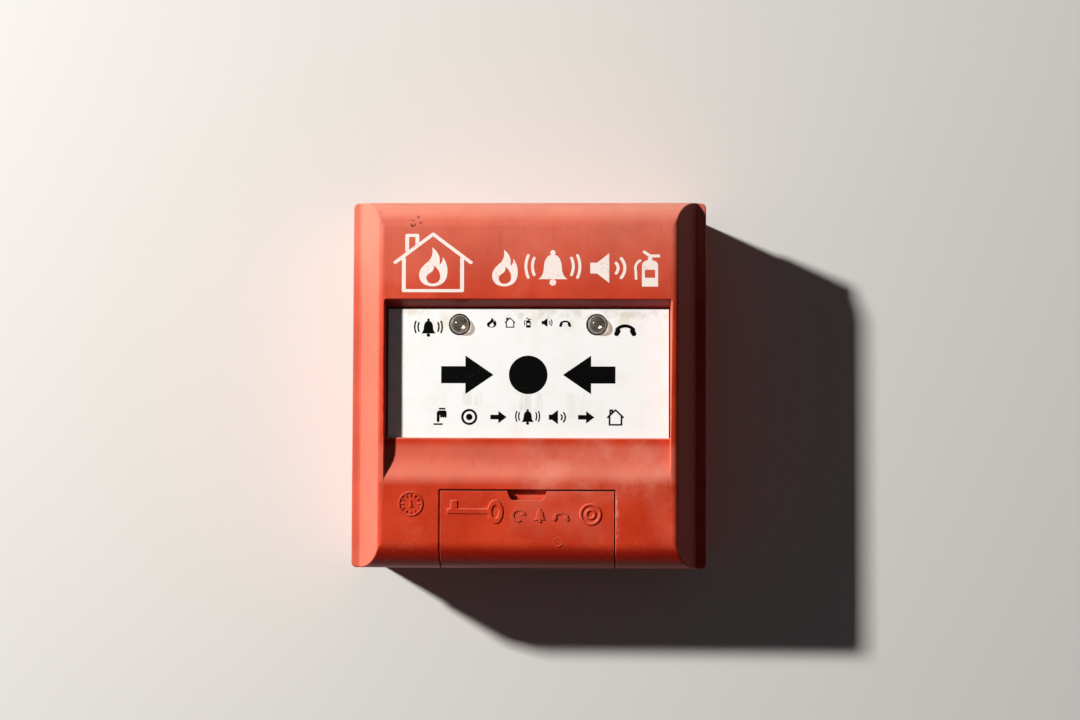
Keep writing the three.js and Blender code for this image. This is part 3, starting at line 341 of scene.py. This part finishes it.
def board_laminate():
    """Green solder mask over copper tracks and glass weave."""
    s = Shader("board_laminate", Specular_IOR_Level=0.5)
    weave = s.node("TexWave", {"Vector": s.place, "Scale": 900.0, "Distortion": 1.5},
                   bands_direction="X")
    tracks = s.node("TexVoronoi", {"Vector": s.place, "Scale": 260.0}, distance="MANHATTAN",
                    feature="DISTANCE_TO_EDGE")
    copper = s.ramp(s.math("SUBTRACT", 0.08, tracks.outputs["Distance"]), 0.0, 0.03)
    colour = s.mix(copper, srgb(22, 84, 46), srgb(44, 122, 66))
    colour = s.mix(s.math("MULTIPLY", weave.outputs["Fac"], 0.15), colour, srgb(70, 130, 80))
    s.set("Base Color", colour)
    s.set("Roughness", s.span(s.noise(2, 3, 0.5), 0.3, 0.45))
    s.set("Normal", s.bump(copper, 0.03, 0.6))
    return s.material


def make_materials():
    """One material for each of the record's slots, and the inks."""
    red = srgb(205, 58, 38)
    return {
        "red_plastic": weathered_red_and_painted_light(),
        "white_plastic": stained_white(),
        "black_plastic": moulded("black_moulding", srgb(30, 30, 32), srgb(62, 62, 64), 0.46),
        "grey_plastic": moulded("grey_moulding", srgb(134, 138, 140), srgb(158, 161, 162), 0.5),
        "ivory_plastic": moulded("ivory_moulding", srgb(218, 211, 190), srgb(232, 228, 212), 0.45),
        "red_button": moulded("red_acetal", srgb(176, 30, 22), srgb(204, 60, 48), 0.32),
        "clear_lens": clear_epoxy(),
        "board_green": board_laminate(),
        "aluminium_can": plated("aluminium_can", srgb(208, 210, 212), srgb(176, 178, 180), 0.35),
        "zinc_steel": plated("zinc_plate", srgb(196, 198, 200), srgb(168, 164, 150), 0.32),
        "spring_steel": plated("spring_wire", srgb(178, 180, 183), srgb(140, 138, 132), 0.3),
        "nickel_plate": plated("nickel_plate", srgb(214, 210, 202), srgb(168, 160, 146), 0.22),
        "brass": plated("plain_brass", srgb(212, 176, 98), srgb(150, 116, 62), 0.3),
        "red_wire": moulded("red_sleeving", srgb(170, 32, 26), srgb(200, 66, 56), 0.4, 0.15),
        "black_wire": moulded("black_sleeving", srgb(26, 26, 28), srgb(58, 58, 60), 0.4, 0.15),
        "white_ink": printed("white_ink", srgb(246, 233, 226), red, 0.1),
        "black_ink": printed("black_ink", srgb(4, 4, 4), srgb(120, 116, 110), 0.0),
    }


MATERIALS = make_materials()


# ---- making pieces ----------------------------------------------------------------------


def piece(name, mesh, slot, body, stands_for=()):
    """Shows a mesh as one named piece that rides on a CAD body, with its slot's material."""
    made = bpy.data.objects.new(name, mesh)
    bpy.context.scene.collection.objects.link(made)
    mesh.materials.clear()
    mesh.materials.append(MATERIALS[slot])
    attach(made, body)
    if stands_for:
        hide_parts(*stands_for)
    return made


def mesh_from(bm, name, smooth_angle=35):
    """A mesh from bm, shaded smooth but for edges sharper than smooth_angle."""
    limit = math.radians(smooth_angle)
    for face in bm.faces:
        face.smooth = True
    for edge in bm.edges:
        if len(edge.link_faces) == 2:
            edge.smooth = edge.calc_face_angle(0) < limit
    mesh = bpy.data.meshes.new(name)
    bm.to_mesh(mesh)
    bm.free()
    return mesh


# CAD facets: points this close are one, edges this short go, and faces this nearly flat are joined.
WELD = 2e-6
SLIVER = 0.03 * MM
FLAT_DEGREES = 0.6
HARD_EDGE_DEGREES = 28


def round_over(bm, round_mm, segments, hard_degrees=HARD_EDGE_DEGREES):
    """Rounds the hard edges, and keeps every new point close to the surface as it was."""
    limit = math.radians(hard_degrees)
    surface = BVHTree.FromBMesh(bm)
    bmesh.ops.triangulate(bm, faces=[f for f in bm.faces if len(f.verts) > 4])
    hard = [e for e in bm.edges if len(e.link_faces) == 2 and e.calc_face_angle(0) > limit]
    bmesh.ops.bevel(bm, geom=hard, offset=round_mm * MM, offset_type="OFFSET", segments=segments,
                    profile=0.5, affect="EDGES", clamp_overlap=False, miter_outer="ARC")
    for vert in bm.verts:
        nearest, _, _, distance = surface.find_nearest(vert.co)
        if distance > 0.5 * round_mm * MM:
            vert.co = nearest


def fine(node, round_mm, segments=2):
    """A CAD node's shape with its facets cleaned up and its hard edges rounded over."""
    bm = bmesh.new()
    bm.from_mesh(frame["nodes"][node].data)
    bmesh.ops.remove_doubles(bm, verts=bm.verts, dist=WELD)
    bmesh.ops.dissolve_degenerate(bm, dist=SLIVER, edges=bm.edges)
    bmesh.ops.dissolve_limit(bm, angle_limit=math.radians(FLAT_DEGREES), verts=bm.verts,
                             edges=bm.edges)
    if round_mm:
        round_over(bm, round_mm, segments)
    low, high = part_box(node)
    for vert in bm.verts:
        vert.co = [min(max(v, a), b) for v, a, b in zip(vert.co, low, high)]
    made = piece(node + "_moulding", mesh_from(bm, node), SLOT_OF[node], BODY_OF[node], [node])
    shading = made.modifiers.new("even_shading", "WEIGHTED_NORMAL")
    shading.keep_sharp = True


def lathe(profile, sides=48):
    """A closed turned solid about the Y axis, nose towards -Y, from (radius, distance) in mm."""
    bm = bmesh.new()
    rings = []
    for radius, out in profile:
        if radius == 0:
            rings.append([bm.verts.new((0, -out * MM, 0))])
            continue
        ring = []
        for i in range(sides):
            angle = 2 * math.pi * i / sides
            ring.append(bm.verts.new((radius * MM * math.cos(angle), -out * MM,
                                      radius * MM * math.sin(angle))))
        rings.append(ring)
    for low, high in zip(rings, rings[1:]):
        for i in range(sides):
            j = (i + 1) % sides
            corners = [low[i % len(low)], low[j % len(low)], high[j % len(high)], high[i % len(high)]]
            bm.faces.new(list(dict.fromkeys(corners)))
    bmesh.ops.recalc_face_normals(bm, faces=bm.faces)
    return bm


def arc_profile(radius, centre, steps, start=0.0, stop=90.0):
    """(radius, distance) points on an arc about (0, centre)."""
    angles = [math.radians(start + (stop - start) * i / steps) for i in range(steps + 1)]
    return [(max(radius * math.cos(a), 0) if a < math.pi / 2 - 1e-6 else 0,
             centre + radius * math.sin(a)) for a in angles]


def move(bm, offset):
    bmesh.ops.translate(bm, verts=bm.verts, vec=Vector(offset))
    return bm


def centre_of(node):
    low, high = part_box(node)
    return (low + high) / 2


# ---- flat artwork -----------------------------------------------------------------------

ARC_STEPS = 10


def circle(x, y, radius, steps=40):
    turn = 2 * math.pi / steps
    return [(x + radius * math.cos(turn * i), y + radius * math.sin(turn * i)) for i in range(steps)]


def bar(x0, y0, x1, y1):
    return [(x0, y0), (x1, y0), (x1, y1), (x0, y1)]


def path(start, *steps):
    """An outline of straight steps, each a point, and curved ones, each (control, end)."""
    points = [start]
    for step in steps:
        if isinstance(step[0], tuple):
            (cx, cy), (ex, ey) = step
            sx, sy = points[-1]
            for i in range(1, ARC_STEPS + 1):
                t = i / ARC_STEPS
                a, b, c = (1 - t) ** 2, 2 * t * (1 - t), t * t
                points.append((a * sx + b * cx + c * ex, a * sy + b * cy + c * ey))
        else:
            points.append(step)
    if math.dist(points[0], points[-1]) < 1e-9:
        points.pop()
    return points


def stroke(points, width):
    """Outlines that cover a line of even width with round joints."""
    half = width / 2
    shapes = [circle(x, y, half, 20) for x, y in points]
    for (x0, y0), (x1, y1) in zip(points, points[1:]):
        length = math.dist((x0, y0), (x1, y1))
        nx, ny = (y0 - y1) / length * half, (x1 - x0) / length * half
        shapes.append([(x0 + nx, y0 + ny), (x0 - nx, y0 - ny), (x1 - nx, y1 - ny), (x1 + nx, y1 + ny)])
    return shapes


def arc(x, y, radius, start, stop, steps=12):
    turns = [math.radians(start + (stop - start) * i / steps) for i in range(steps + 1)]
    return [(x + radius * math.cos(a), y + radius * math.sin(a)) for a in turns]


def added(*outlines):
    return [(outline, True) for outline in outlines]


def removed(*outlines):
    return [(outline, False) for outline in outlines]


def annulus(x, y, outer, inner):
    return added(circle(x, y, outer)) + removed(circle(x, y, inner))


def flame():
    outer = path((0.48, 0.0), ((0.98, 0.02), (0.96, 0.42)), ((0.95, 0.60), (0.80, 0.76)),
                 ((0.82, 0.62), (0.70, 0.56)), ((0.76, 0.84), (0.46, 1.0)),
                 ((0.52, 0.76), (0.30, 0.62)), ((0.02, 0.44), (0.04, 0.28)),
                 ((0.06, 0.02), (0.48, 0.0)))
    inner = path((0.50, 0.07), ((0.76, 0.10), (0.72, 0.30)), ((0.70, 0.42), (0.52, 0.54)),
                 ((0.54, 0.40), (0.38, 0.34)), ((0.22, 0.25), (0.30, 0.15)),
                 ((0.36, 0.06), (0.50, 0.07)))
    return added(outer) + removed(inner)


def bell():
    dome = path((0.10, 0.20), (0.90, 0.20), ((0.77, 0.28), (0.75, 0.48)),
                ((0.74, 0.86), (0.50, 0.88)), ((0.26, 0.86), (0.25, 0.48)),
                ((0.23, 0.28), (0.10, 0.20)))
    return added(dome, circle(0.5, 0.11, 0.09), circle(0.5, 0.93, 0.07))


def ringing_bell():
    waves = []
    for radius in (0.56, 0.74):
        for middle in (0, 180):
            waves += stroke(arc(0.5, 0.55, radius, middle - 24, middle + 24), 0.08)
    return bell() + added(*waves)


def sounder():
    horn = [(0.0, 0.34), (0.20, 0.34), (0.56, 0.06), (0.56, 0.94), (0.20, 0.66), (0.0, 0.66)]
    waves = []
    for radius in (0.22, 0.42):
        waves += stroke(arc(0.60, 0.5, radius, -42, 42), 0.09)
    return added(horn, *waves)


def extinguisher():
    body = path((0.28, 0.0), (0.72, 0.0), (0.72, 0.56), ((0.72, 0.70), (0.56, 0.72)),
                (0.56, 0.80), (0.44, 0.80), (0.44, 0.72), ((0.28, 0.70), (0.28, 0.56)))
    handle = stroke([(0.34, 0.95), (0.50, 0.84), (0.74, 0.84)], 0.08)
    hose = stroke(arc(0.34, 0.50, 0.24, 118, 196) + [(0.12, 0.22)], 0.07)
    return added(body, *handle, *hose) + removed(bar(0.36, 0.24, 0.64, 0.46))


def pressing_hand():
    """A hand from above, its first finger on a button and the others folded."""
    pointing = stroke([(0.38, 0.26), (0.38, 0.68)], 0.17)
    folded = []
    for x in (0.57, 0.71, 0.84):
        folded += stroke([(x, 0.52), (x, 0.68)], 0.13)
    palm = path((0.295, 0.62), (0.905, 0.62), (0.905, 0.76), ((0.90, 0.90), (0.78, 0.90)),
                (0.46, 0.90), ((0.295, 0.86), (0.295, 0.72)))
    return added(*pointing, *folded, palm, bar(0.42, 0.96, 0.82, 1.06), bar(0.10, 0.0, 0.66, 0.10))


def handset():
    grip = stroke(arc(0.5, 0.02, 0.60, 42, 138), 0.17)
    ends = []
    for side in (-1, 1):
        ends += stroke([(0.5 + side * 0.38, 0.34), (0.5 + side * 0.46, 0.20)], 0.26)
    return added(*grip, *ends)


def turn_arrow():
    """A three-quarter turn with an arrowhead, for the reset lock."""
    sweep = stroke(arc(0.5, 0.5, 0.38, 20, 290), 0.13)
    return added(*sweep, [(0.66, 0.54), (1.06, 0.54), (0.86, 0.86)])


def date_dial():
    """A moulder's plain date insert: a ring, twelve ticks and a pointer, with no figures."""
    ticks = []
    for i in range(12):
        turn = math.radians(30 * i)
        ends = [(0.5 + r * math.cos(turn), 0.5 + r * math.sin(turn)) for r in (0.31, 0.39)]
        ticks += stroke(ends, 0.045)
    pointer = [(0.42, 0.36), (0.58, 0.36), (0.5, 0.68)]
    return annulus(0.5, 0.5, 0.5, 0.43) + added(*ticks, pointer)


def push_button():
    return annulus(0.5, 0.5, 0.5, 0.36) + added(circle(0.5, 0.5, 0.2))


def arrow():
    return added([(0.0, 0.36), (0.5, 0.36), (0.5, 0.12), (1.0, 0.5),
                  (0.5, 0.88), (0.5, 0.64), (0.0, 0.64)])


def house(line=0.05):
    roof = stroke([(0.02, 0.50), (0.50, 0.96), (0.98, 0.50)], line)
    walls = stroke([(0.13, 0.56), (0.13, 0.04), (0.87, 0.04), (0.87, 0.56)], line)
    chimney = stroke([(0.17, 0.70), (0.17, 0.94), (0.30, 0.94), (0.30, 0.80)], line)
    return added(*roof, *walls, *chimney)


def bold_house():
    return house(0.1)


def placed(layers, x, y, width, height=None):
    """Artwork drawn in the unit square, moved to (x, y) and scaled to its size in mm."""
    height = height or width
    return [([(x + u * width, y + v * height) for u, v in outline], solid) for outline, solid in layers]


def inside(point, outline):
    x, y = point
    hit = False
    for (x0, y0), (x1, y1) in zip(outline, outline[1:] + outline[:1]):
        if (y0 > y) != (y1 > y) and x < x0 + (y - y0) / (y1 - y0) * (x1 - x0):
            hit = not hit
    return hit


def artwork_mesh(layers, face_y, proud_mm):
    """A thin closed solid of the layers' joined outlines, standing proud of the face at face_y."""
    points, lines = [], []
    for outline, _ in layers:
        first = len(points)
        points += [Vector(p) for p in outline]
        count = len(outline)
        lines += [(first + i, first + (i + 1) % count) for i in range(count)]
    verts, _, faces, *_ = delaunay_2d_cdt(points, lines, [], 0, 1e-5)
    bm = bmesh.new()
    made = [bm.verts.new((v.x * MM, face_y, v.y * MM)) for v in verts]
    for face in faces:
        middle = sum((verts[i] for i in face), Vector((0, 0))) / len(face)
        filled = False
        for outline, solid in layers:
            if inside(middle, outline):
                filled = solid
        if filled:
            bm.faces.new([made[i] for i in face])
    bmesh.ops.delete(bm, geom=[v for v in bm.verts if not v.link_faces], context="VERTS")
    bmesh.ops.recalc_face_normals(bm, faces=bm.faces)
    grown = bmesh.ops.extrude_face_region(bm, geom=bm.faces[:])
    top = [v for v in grown["geom"] if isinstance(v, bmesh.types.BMVert)]
    bmesh.ops.translate(bm, verts=top, vec=(0, -proud_mm * MM, 0))
    bmesh.ops.recalc_face_normals(bm, faces=bm.faces)
    return bm


INK_MM = 0.04


def cover_ink(name, layers):
    """White ink on the front cover."""
    mesh = mesh_from(artwork_mesh(layers, FRONT_Y, INK_MM), name)
    piece(name, mesh, "white_ink", "base")


def plate_ink(name, layers):
    """Black ink on the push plate."""
    mesh = mesh_from(artwork_mesh(layers, PLATE_Y, INK_MM), name)
    piece(name, mesh, "black_ink", "plate")


# ---- printed graphics -------------------------------------------------------------------


def header_print():
    """White pictograms above the push plate: a burning house, then alarm signs."""
    base = 25.9
    cover_ink("print_house", placed(house(), -35.8, 24.1, 21.0, 16.4))
    cover_ink("print_house_flame", placed(flame(), -29.3, base, 8.2, 10.4))
    cover_ink("print_flame", placed(flame(), -9.8, base, 7.4, 9.8))
    cover_ink("print_bell", placed(ringing_bell(), 1.8, base, 9.7))
    cover_ink("print_sounder", placed(sounder(), 16.6, base + 0.4, 9.0))
    cover_ink("print_extinguisher", placed(extinguisher(), 27.6, base, 9.7))


def plate_print():
    """The black dot between two arrows, and small pictograms for what the plate and lamps do."""
    dot_y, dot_radius = 2.55, 5.15
    half_head, half_shaft = dot_radius, 2.28
    plate_ink("print_dot", added(circle(0, dot_y, dot_radius, 64)))
    for side, name in ((-1, "left"), (1, "right")):
        tip, neck, tail = 9.3 * side, 16.8 * side, 23.3 * side
        outline = [(tip, dot_y), (neck, dot_y + half_head), (neck, dot_y + half_shaft),
                   (tail, dot_y + half_shaft), (tail, dot_y - half_shaft),
                   (neck, dot_y - half_shaft), (neck, dot_y - half_head)]
        plate_ink("print_arrow_" + name, added(outline))
    print_row("how_to", [pressing_hand, push_button, arrow, ringing_bell, sounder, arrow, bold_house],
              -25.7, 25.5, -10.9, 4.3)
    print_row("type", [flame, bold_house, extinguisher, sounder, handset], -11.2, 11.2, 15.2, 2.7)
    for name, sign, x in (("alarm", ringing_bell, -29.3), ("phone", handset, 23.4)):
        plate_ink(f"print_{name}_lamp", placed(sign(), x, 12.6, 5.0))


def print_row(name, signs, left, right, y, size):
    """Black pictograms spread evenly from left to right."""
    pitch = (right - left - size) / (len(signs) - 1)
    for i, sign in enumerate(signs):
        plate_ink(f"print_{name}_{i + 1}", placed(sign(), left + pitch * i, y, size))


def relief(name, layers, proud_mm, body):
    """A raised mark on the front that grows out of the moulding, with softened edges."""
    sunk_mm = 0.2
    hard_degrees = 50
    bm = artwork_mesh(layers, FRONT_Y + sunk_mm * MM, sunk_mm + proud_mm)
    bmesh.ops.dissolve_limit(bm, angle_limit=math.radians(1), verts=bm.verts, edges=bm.edges)
    round_over(bm, 0.08, 2, hard_degrees)
    piece(name, mesh_from(bm, name, hard_degrees), "red_plastic", body)


def raised_marks():
    """The moulder's dial on the cover, the signs on the flap and the ring of its gate."""
    relief("mould_date_dial", placed(date_dial(), -34.2, -35.2, 6.6), 0.28, "base")
    relief("reset_turn_mark", placed(turn_arrow(), -4.2, -36.8, 3.8), 0.3, "flap")
    relief("alarm_mark", placed(bell(), 1.5, -36.8, 3.8), 0.3, "flap")
    relief("phone_mark", placed(handset(), 7.0, -36.6, 3.8), 0.3, "flap")
    relief("gate_mark", annulus(8.2, -41.8, 1.3, 1.05), 0.06, "flap")


# ---- lamps ------------------------------------------------------------------------------


def lamp(node):
    """A clear 5 mm lamp: the epoxy body, and the metal cup and post that show inside it."""
    low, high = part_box(node)
    centre = centre_of(node)
    flange, flange_top, radius = (high.x - low.x) / 2 / MM, 1.0, 2.5
    shoulder = (high.y - low.y) / MM - radius
    profile = [(0, 0), (flange - 0.1, 0), (flange, 0.1), (flange, flange_top - 0.1),
               (flange - 0.1, flange_top), (radius + 0.05, flange_top), (radius, flange_top + 0.1),
               *arc_profile(radius, shoulder, 20)]
    lens = move(lathe(profile, 72), (centre.x, high.y, centre.z))
    piece(node + "_lens", mesh_from(lens, node, 50), "clear_lens", "base", [node])
    foot, lip = 0.3, shoulder - 0.9
    cup = [(0, foot), (0.6, foot), (0.6, lip - 1.4), (1.3, lip), (1.05, lip), (0.55, lip - 0.9),
           (0, lip - 0.9)]
    cup_mesh = move(lathe(cup, 32), (centre.x - 0.35 * MM, high.y, centre.z))
    piece(node + "_cup", mesh_from(cup_mesh, node + "_cup"), "nickel_plate", "base")
    post = [(0, foot), (0.35, foot), (0.35, lip - 0.8), (0.2, lip - 0.6), (0, lip - 0.6)]
    post_mesh = move(lathe(post, 16), (centre.x + 1.3 * MM, high.y, centre.z))
    piece(node + "_post", mesh_from(post_mesh, node + "_post"), "nickel_plate", "base")


# ---- springs and screws -----------------------------------------------------------------


def coil_mesh(radius_mm, wire_mm, length_mm, turns, sides=10, per_turn=28):
    """A spring along +Z from the origin, with its end turns closed up flat."""
    bm = bmesh.new()
    steps = turns * per_turn
    closed = 1 / turns
    rings = []
    for i in range(steps + 1):
        t = i / steps
        rise = min(max((t - closed * 0.7) / (1 - 1.4 * closed), 0), 1)
        z = wire_mm + rise * (length_mm - 2 * wire_mm)
        angle = 2 * math.pi * turns * t
        out = Vector((math.cos(angle), math.sin(angle), 0))
        middle = out * radius_mm + Vector((0, 0, z))
        ring = []
        for k in range(sides):
            spin = 2 * math.pi * k / sides
            offset = out * math.cos(spin) + Vector((0, 0, 1)) * math.sin(spin)
            ring.append(bm.verts.new((middle + offset * wire_mm) * MM))
        rings.append(ring)
    for a, b in zip(rings, rings[1:]):
        for k in range(sides):
            bm.faces.new([a[k], b[k], b[(k + 1) % sides], a[(k + 1) % sides]])
    bm.faces.new(rings[0])
    bm.faces.new(rings[-1][::-1])
    bmesh.ops.recalc_face_normals(bm, faces=bm.faces)
    return bm


def springs():
    """The plate's and the latch's springs, as coils in the place of their CAD nodes."""
    for node in ("plate_spring_1", "plate_spring_2"):
        low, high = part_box(node)
        centre = centre_of(node)
        length = high.y - low.y
        bm = coil_mesh(radius_mm=2.6, wire_mm=0.3, length_mm=length / MM, turns=5)
        bmesh.ops.rotate(bm, verts=bm.verts, matrix=Matrix.Rotation(math.radians(90), 3, "X"))
        coil = piece(node + "_coil", mesh_from(move(bm, (centre.x, high.y, centre.z)), node, 60),
                     "spring_steel", "base", [node])
        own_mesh(coil)
    low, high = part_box("latch_spring")
    length = high.z - low.z
    centre = centre_of("latch_spring")
    bm = coil_mesh(radius_mm=1.4, wire_mm=0.25, length_mm=length / MM, turns=6)
    move(bm, (centre.x, centre.y, low.z))
    coil = piece("latch_spring_coil", mesh_from(bm, "latch_spring", 60), "spring_steel", "base",
                 ["latch_spring"])
    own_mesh(coil)


def cut(target, cutter_bm):
    """Takes a closed cutter out of a piece, and bakes the result into its mesh."""
    cutter = bpy.data.objects.new("cutter", bpy.data.meshes.new("cutter"))
    cutter_bm.to_mesh(cutter.data)
    cutter_bm.free()
    bpy.context.scene.collection.objects.link(cutter)
    taking = target.modifiers.new("cut", "BOOLEAN")
    taking.object = cutter
    taking.solver = "EXACT"
    taking.operation = "DIFFERENCE"
    bpy.context.view_layer.update()
    graph = bpy.context.evaluated_depsgraph_get()
    shaped = bpy.data.meshes.new_from_object(target.evaluated_get(graph))
    target.modifiers.clear()
    old = target.data
    target.data = shaped
    bpy.data.meshes.remove(old)
    bpy.data.objects.remove(cutter)


def block(low, high):
    bm = bmesh.new()
    bmesh.ops.create_cube(bm, size=1)
    low, high = Vector(low) * MM, Vector(high) * MM
    bmesh.ops.scale(bm, verts=bm.verts, vec=high - low)
    return move(bm, (low + high) / 2)


def screw(node, head_mm, height_mm, shank_mm, rear_facing=False):
    """A domed, slotted machine screw with a threaded shank, in the place of its CAD node."""
    low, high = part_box(node)
    centre = centre_of(node)
    length = (high.y - low.y) / MM - height_mm
    pitch, root_mm = 0.5, shank_mm * 0.82
    profile = [(0, -length), (shank_mm * 0.7, -length)]
    for i in range(int(length / pitch) - 1):
        thread = -length + pitch * (i + 0.4)
        profile += [(root_mm, thread), (shank_mm, thread + pitch / 2)]
    profile += [(root_mm, -0.05), (head_mm * 0.95, 0), (head_mm, 0.12),
                (head_mm, height_mm * 0.45), (head_mm * 0.93, height_mm * 0.72),
                (head_mm * 0.7, height_mm * 0.93), (head_mm * 0.3, height_mm), (0, height_mm)]
    bm = lathe(profile, 32)
    slot = block((-head_mm * 1.2, -height_mm - 1, -head_mm * 0.14),
                 (head_mm * 1.2, -height_mm * 0.5, head_mm * 0.14))
    if rear_facing:
        for part in (bm, slot):
            bmesh.ops.rotate(part, verts=part.verts, matrix=Matrix.Rotation(math.pi, 3, "Z"))
    head_y = high.y - height_mm * MM if rear_facing else low.y + height_mm * MM
    for part in (bm, slot):
        move(part, (centre.x, head_y, centre.z))
    made = piece(node + "_screw", mesh_from(bm, node, 40), SLOT_OF[node], BODY_OF[node], [node])
    cut(made, slot)


def screws():
    for node in frame["nodes"]:
        if node.startswith("terminal_screw"):
            screw(node, head_mm=1.9, height_mm=1.5, shank_mm=1.1)
        elif node.startswith("board_screw"):
            screw(node, head_mm=2.2, height_mm=1.3, shank_mm=1.0)
        elif node.startswith("chassis_screw"):
            screw(node, head_mm=2.7, height_mm=1.8, shank_mm=1.2, rear_facing=True)


# ---- shells and small mouldings ---------------------------------------------------------


SMALL_MOULDINGS = (
    "alarm_led_spacer", "phone_led_spacer", "controller_chip", "alarm_relay", "switch_body",
    "switch_plunger", "pin_header", "circuit_board", "phone_jack", "latch_slider", "reset_cam",
    "barrel_clip", "reset_barrel", "jack_nut", "capacitor_1", "capacitor_2", "jack_contact_1",
    "jack_contact_2",
)


def shells():
    """Every piece that keeps its CAD shape, with its edges rounded to suit its size."""
    fine("front_cover", 0.3, segments=3)
    fine("service_flap", 0.16)
    fine("back_box", 0.3, segments=3)
    for node in ("press_plate", "chassis_plate", "rear_tray", "terminal_block"):
        fine(node, 0.15)
    for node in SMALL_MOULDINGS:
        fine(node, 0.1)
    for node in ("jack_wire_1", "jack_wire_2"):
        fine(node, 0)
    for node in frame["nodes"]:
        if node.startswith(("terminal_clamp", "plug_pin")):
            fine(node, 0.08)


# ---- studio -----------------------------------------------------------------------------


def stage_material(name, colour, one_sided):
    s = Shader(name, Base_Color=colour, Roughness=0.85)
    if one_sided:
        s.open_where(s.node("NewGeometry").outputs["Backfacing"])
    return s.material


def panel(name, corners, material):
    mesh = bpy.data.meshes.new(name)
    mesh.from_pydata(corners, [], [tuple(range(len(corners)))])
    mesh.materials.append(material)
    made = bpy.data.objects.new(name, mesh)
    bpy.context.scene.collection.objects.link(made)
    return made


def area_light(name, direction, distance, size, watts, colour):
    data = bpy.data.lights.new(name, "AREA")
    data.shape = "SQUARE"
    data.size = size
    data.energy = watts
    data.color = colour
    lamp_object = bpy.data.objects.new(name, data)
    away = Vector(direction).normalized()
    lamp_object.location = away * distance
    lamp_object.rotation_mode = "QUATERNION"
    lamp_object.rotation_quaternion = (-away).to_track_quat("-Z", "Y")
    bpy.context.scene.collection.objects.link(lamp_object)
    return lamp_object


def studio():
    """A plain pale wall and floor, a key light from the upper left, fills and a pale surround."""
    half, high, low, near = 2.0, 2.0, -1.3, -3.0
    behind = 0.6 * MM
    wall = panel("backdrop", [(-half, behind, low), (half, behind, low), (half, behind, high),
                              (-half, behind, high)],
                 stage_material("pale_wall", srgb(214, 213, 210), True))
    # The two back fills shine through the wall, and the floor is for the camera only.
    wall.visible_shadow = False
    floor = panel("floor", [(-half, near, low), (half, near, low), (half, -near, low),
                            (-half, -near, low)],
                  stage_material("pale_floor", srgb(226, 225, 222), False))
    floor.visible_diffuse = False
    floor.visible_glossy = False
    area_light("key", (-0.70, -0.64, 0.36), distance=1.3, size=0.08, watts=25.8,
               colour=(1.0, 0.975, 0.94))
    area_light("fill", (0.1, -1.0, -0.1), distance=1.4, size=1.2, watts=0.3,
               colour=(0.96, 0.97, 1.0))
    for number, side in enumerate((-1, 1), 1):
        back = area_light(f"back_fill_{number}", (0.3 * side, 1.0, 0.08), distance=1.2, size=0.6,
                          watts=1.0, colour=(1, 0.98, 0.96))
        back.data.spread = math.radians(50)
        back.visible_glossy = False
    bpy.context.scene.world = surround()


def surround():
    """A world that looks pale where it is seen directly, and lights the object only faintly."""
    world = bpy.data.worlds.new("studio")
    world.use_nodes = True
    tree = world.node_tree
    background = tree.nodes["Background"]
    background.inputs["Color"].default_value = (0.86, 0.88, 0.92, 1)
    strength = tree.nodes.new("ShaderNodeMapRange")
    strength.inputs["To Min"].default_value = 0.03
    strength.inputs["To Max"].default_value = 0.6
    seen = tree.nodes.new("ShaderNodeLightPath").outputs["Is Camera Ray"]
    tree.links.new(seen, strength.inputs["Value"])
    tree.links.new(strength.outputs["Result"], background.inputs["Strength"])
    return world


def camera():
    """The reference view: a little below and to the right of the object's centre line."""
    data = bpy.data.cameras.new("camera")
    data.sensor_width = 36.0
    data.lens = 70.1
    data.clip_start, data.clip_end = 0.05, 20
    made = bpy.data.objects.new("camera", data)
    yaw, pitch, roll = 0.03479, 0.04541, 0.00366
    made.location = Vector((22.7, -602.7, -19.0)) * MM
    turn = Matrix.Rotation(yaw, 3, "Z") @ Matrix.Rotation(math.pi / 2 + pitch, 3, "X")
    made.rotation_mode = "QUATERNION"
    made.rotation_quaternion = (turn @ Matrix.Rotation(roll, 3, "Z")).to_quaternion()
    bpy.context.scene.collection.objects.link(made)
    bpy.context.scene.camera = made
    bpy.context.scene.view_settings.view_transform = "Standard"


# ---- the model --------------------------------------------------------------------------

camera()
studio()
shells()
header_print()
plate_print()
raised_marks()
for lamp_node in LAMPS:
    lamp(lamp_node)
springs()
screws()
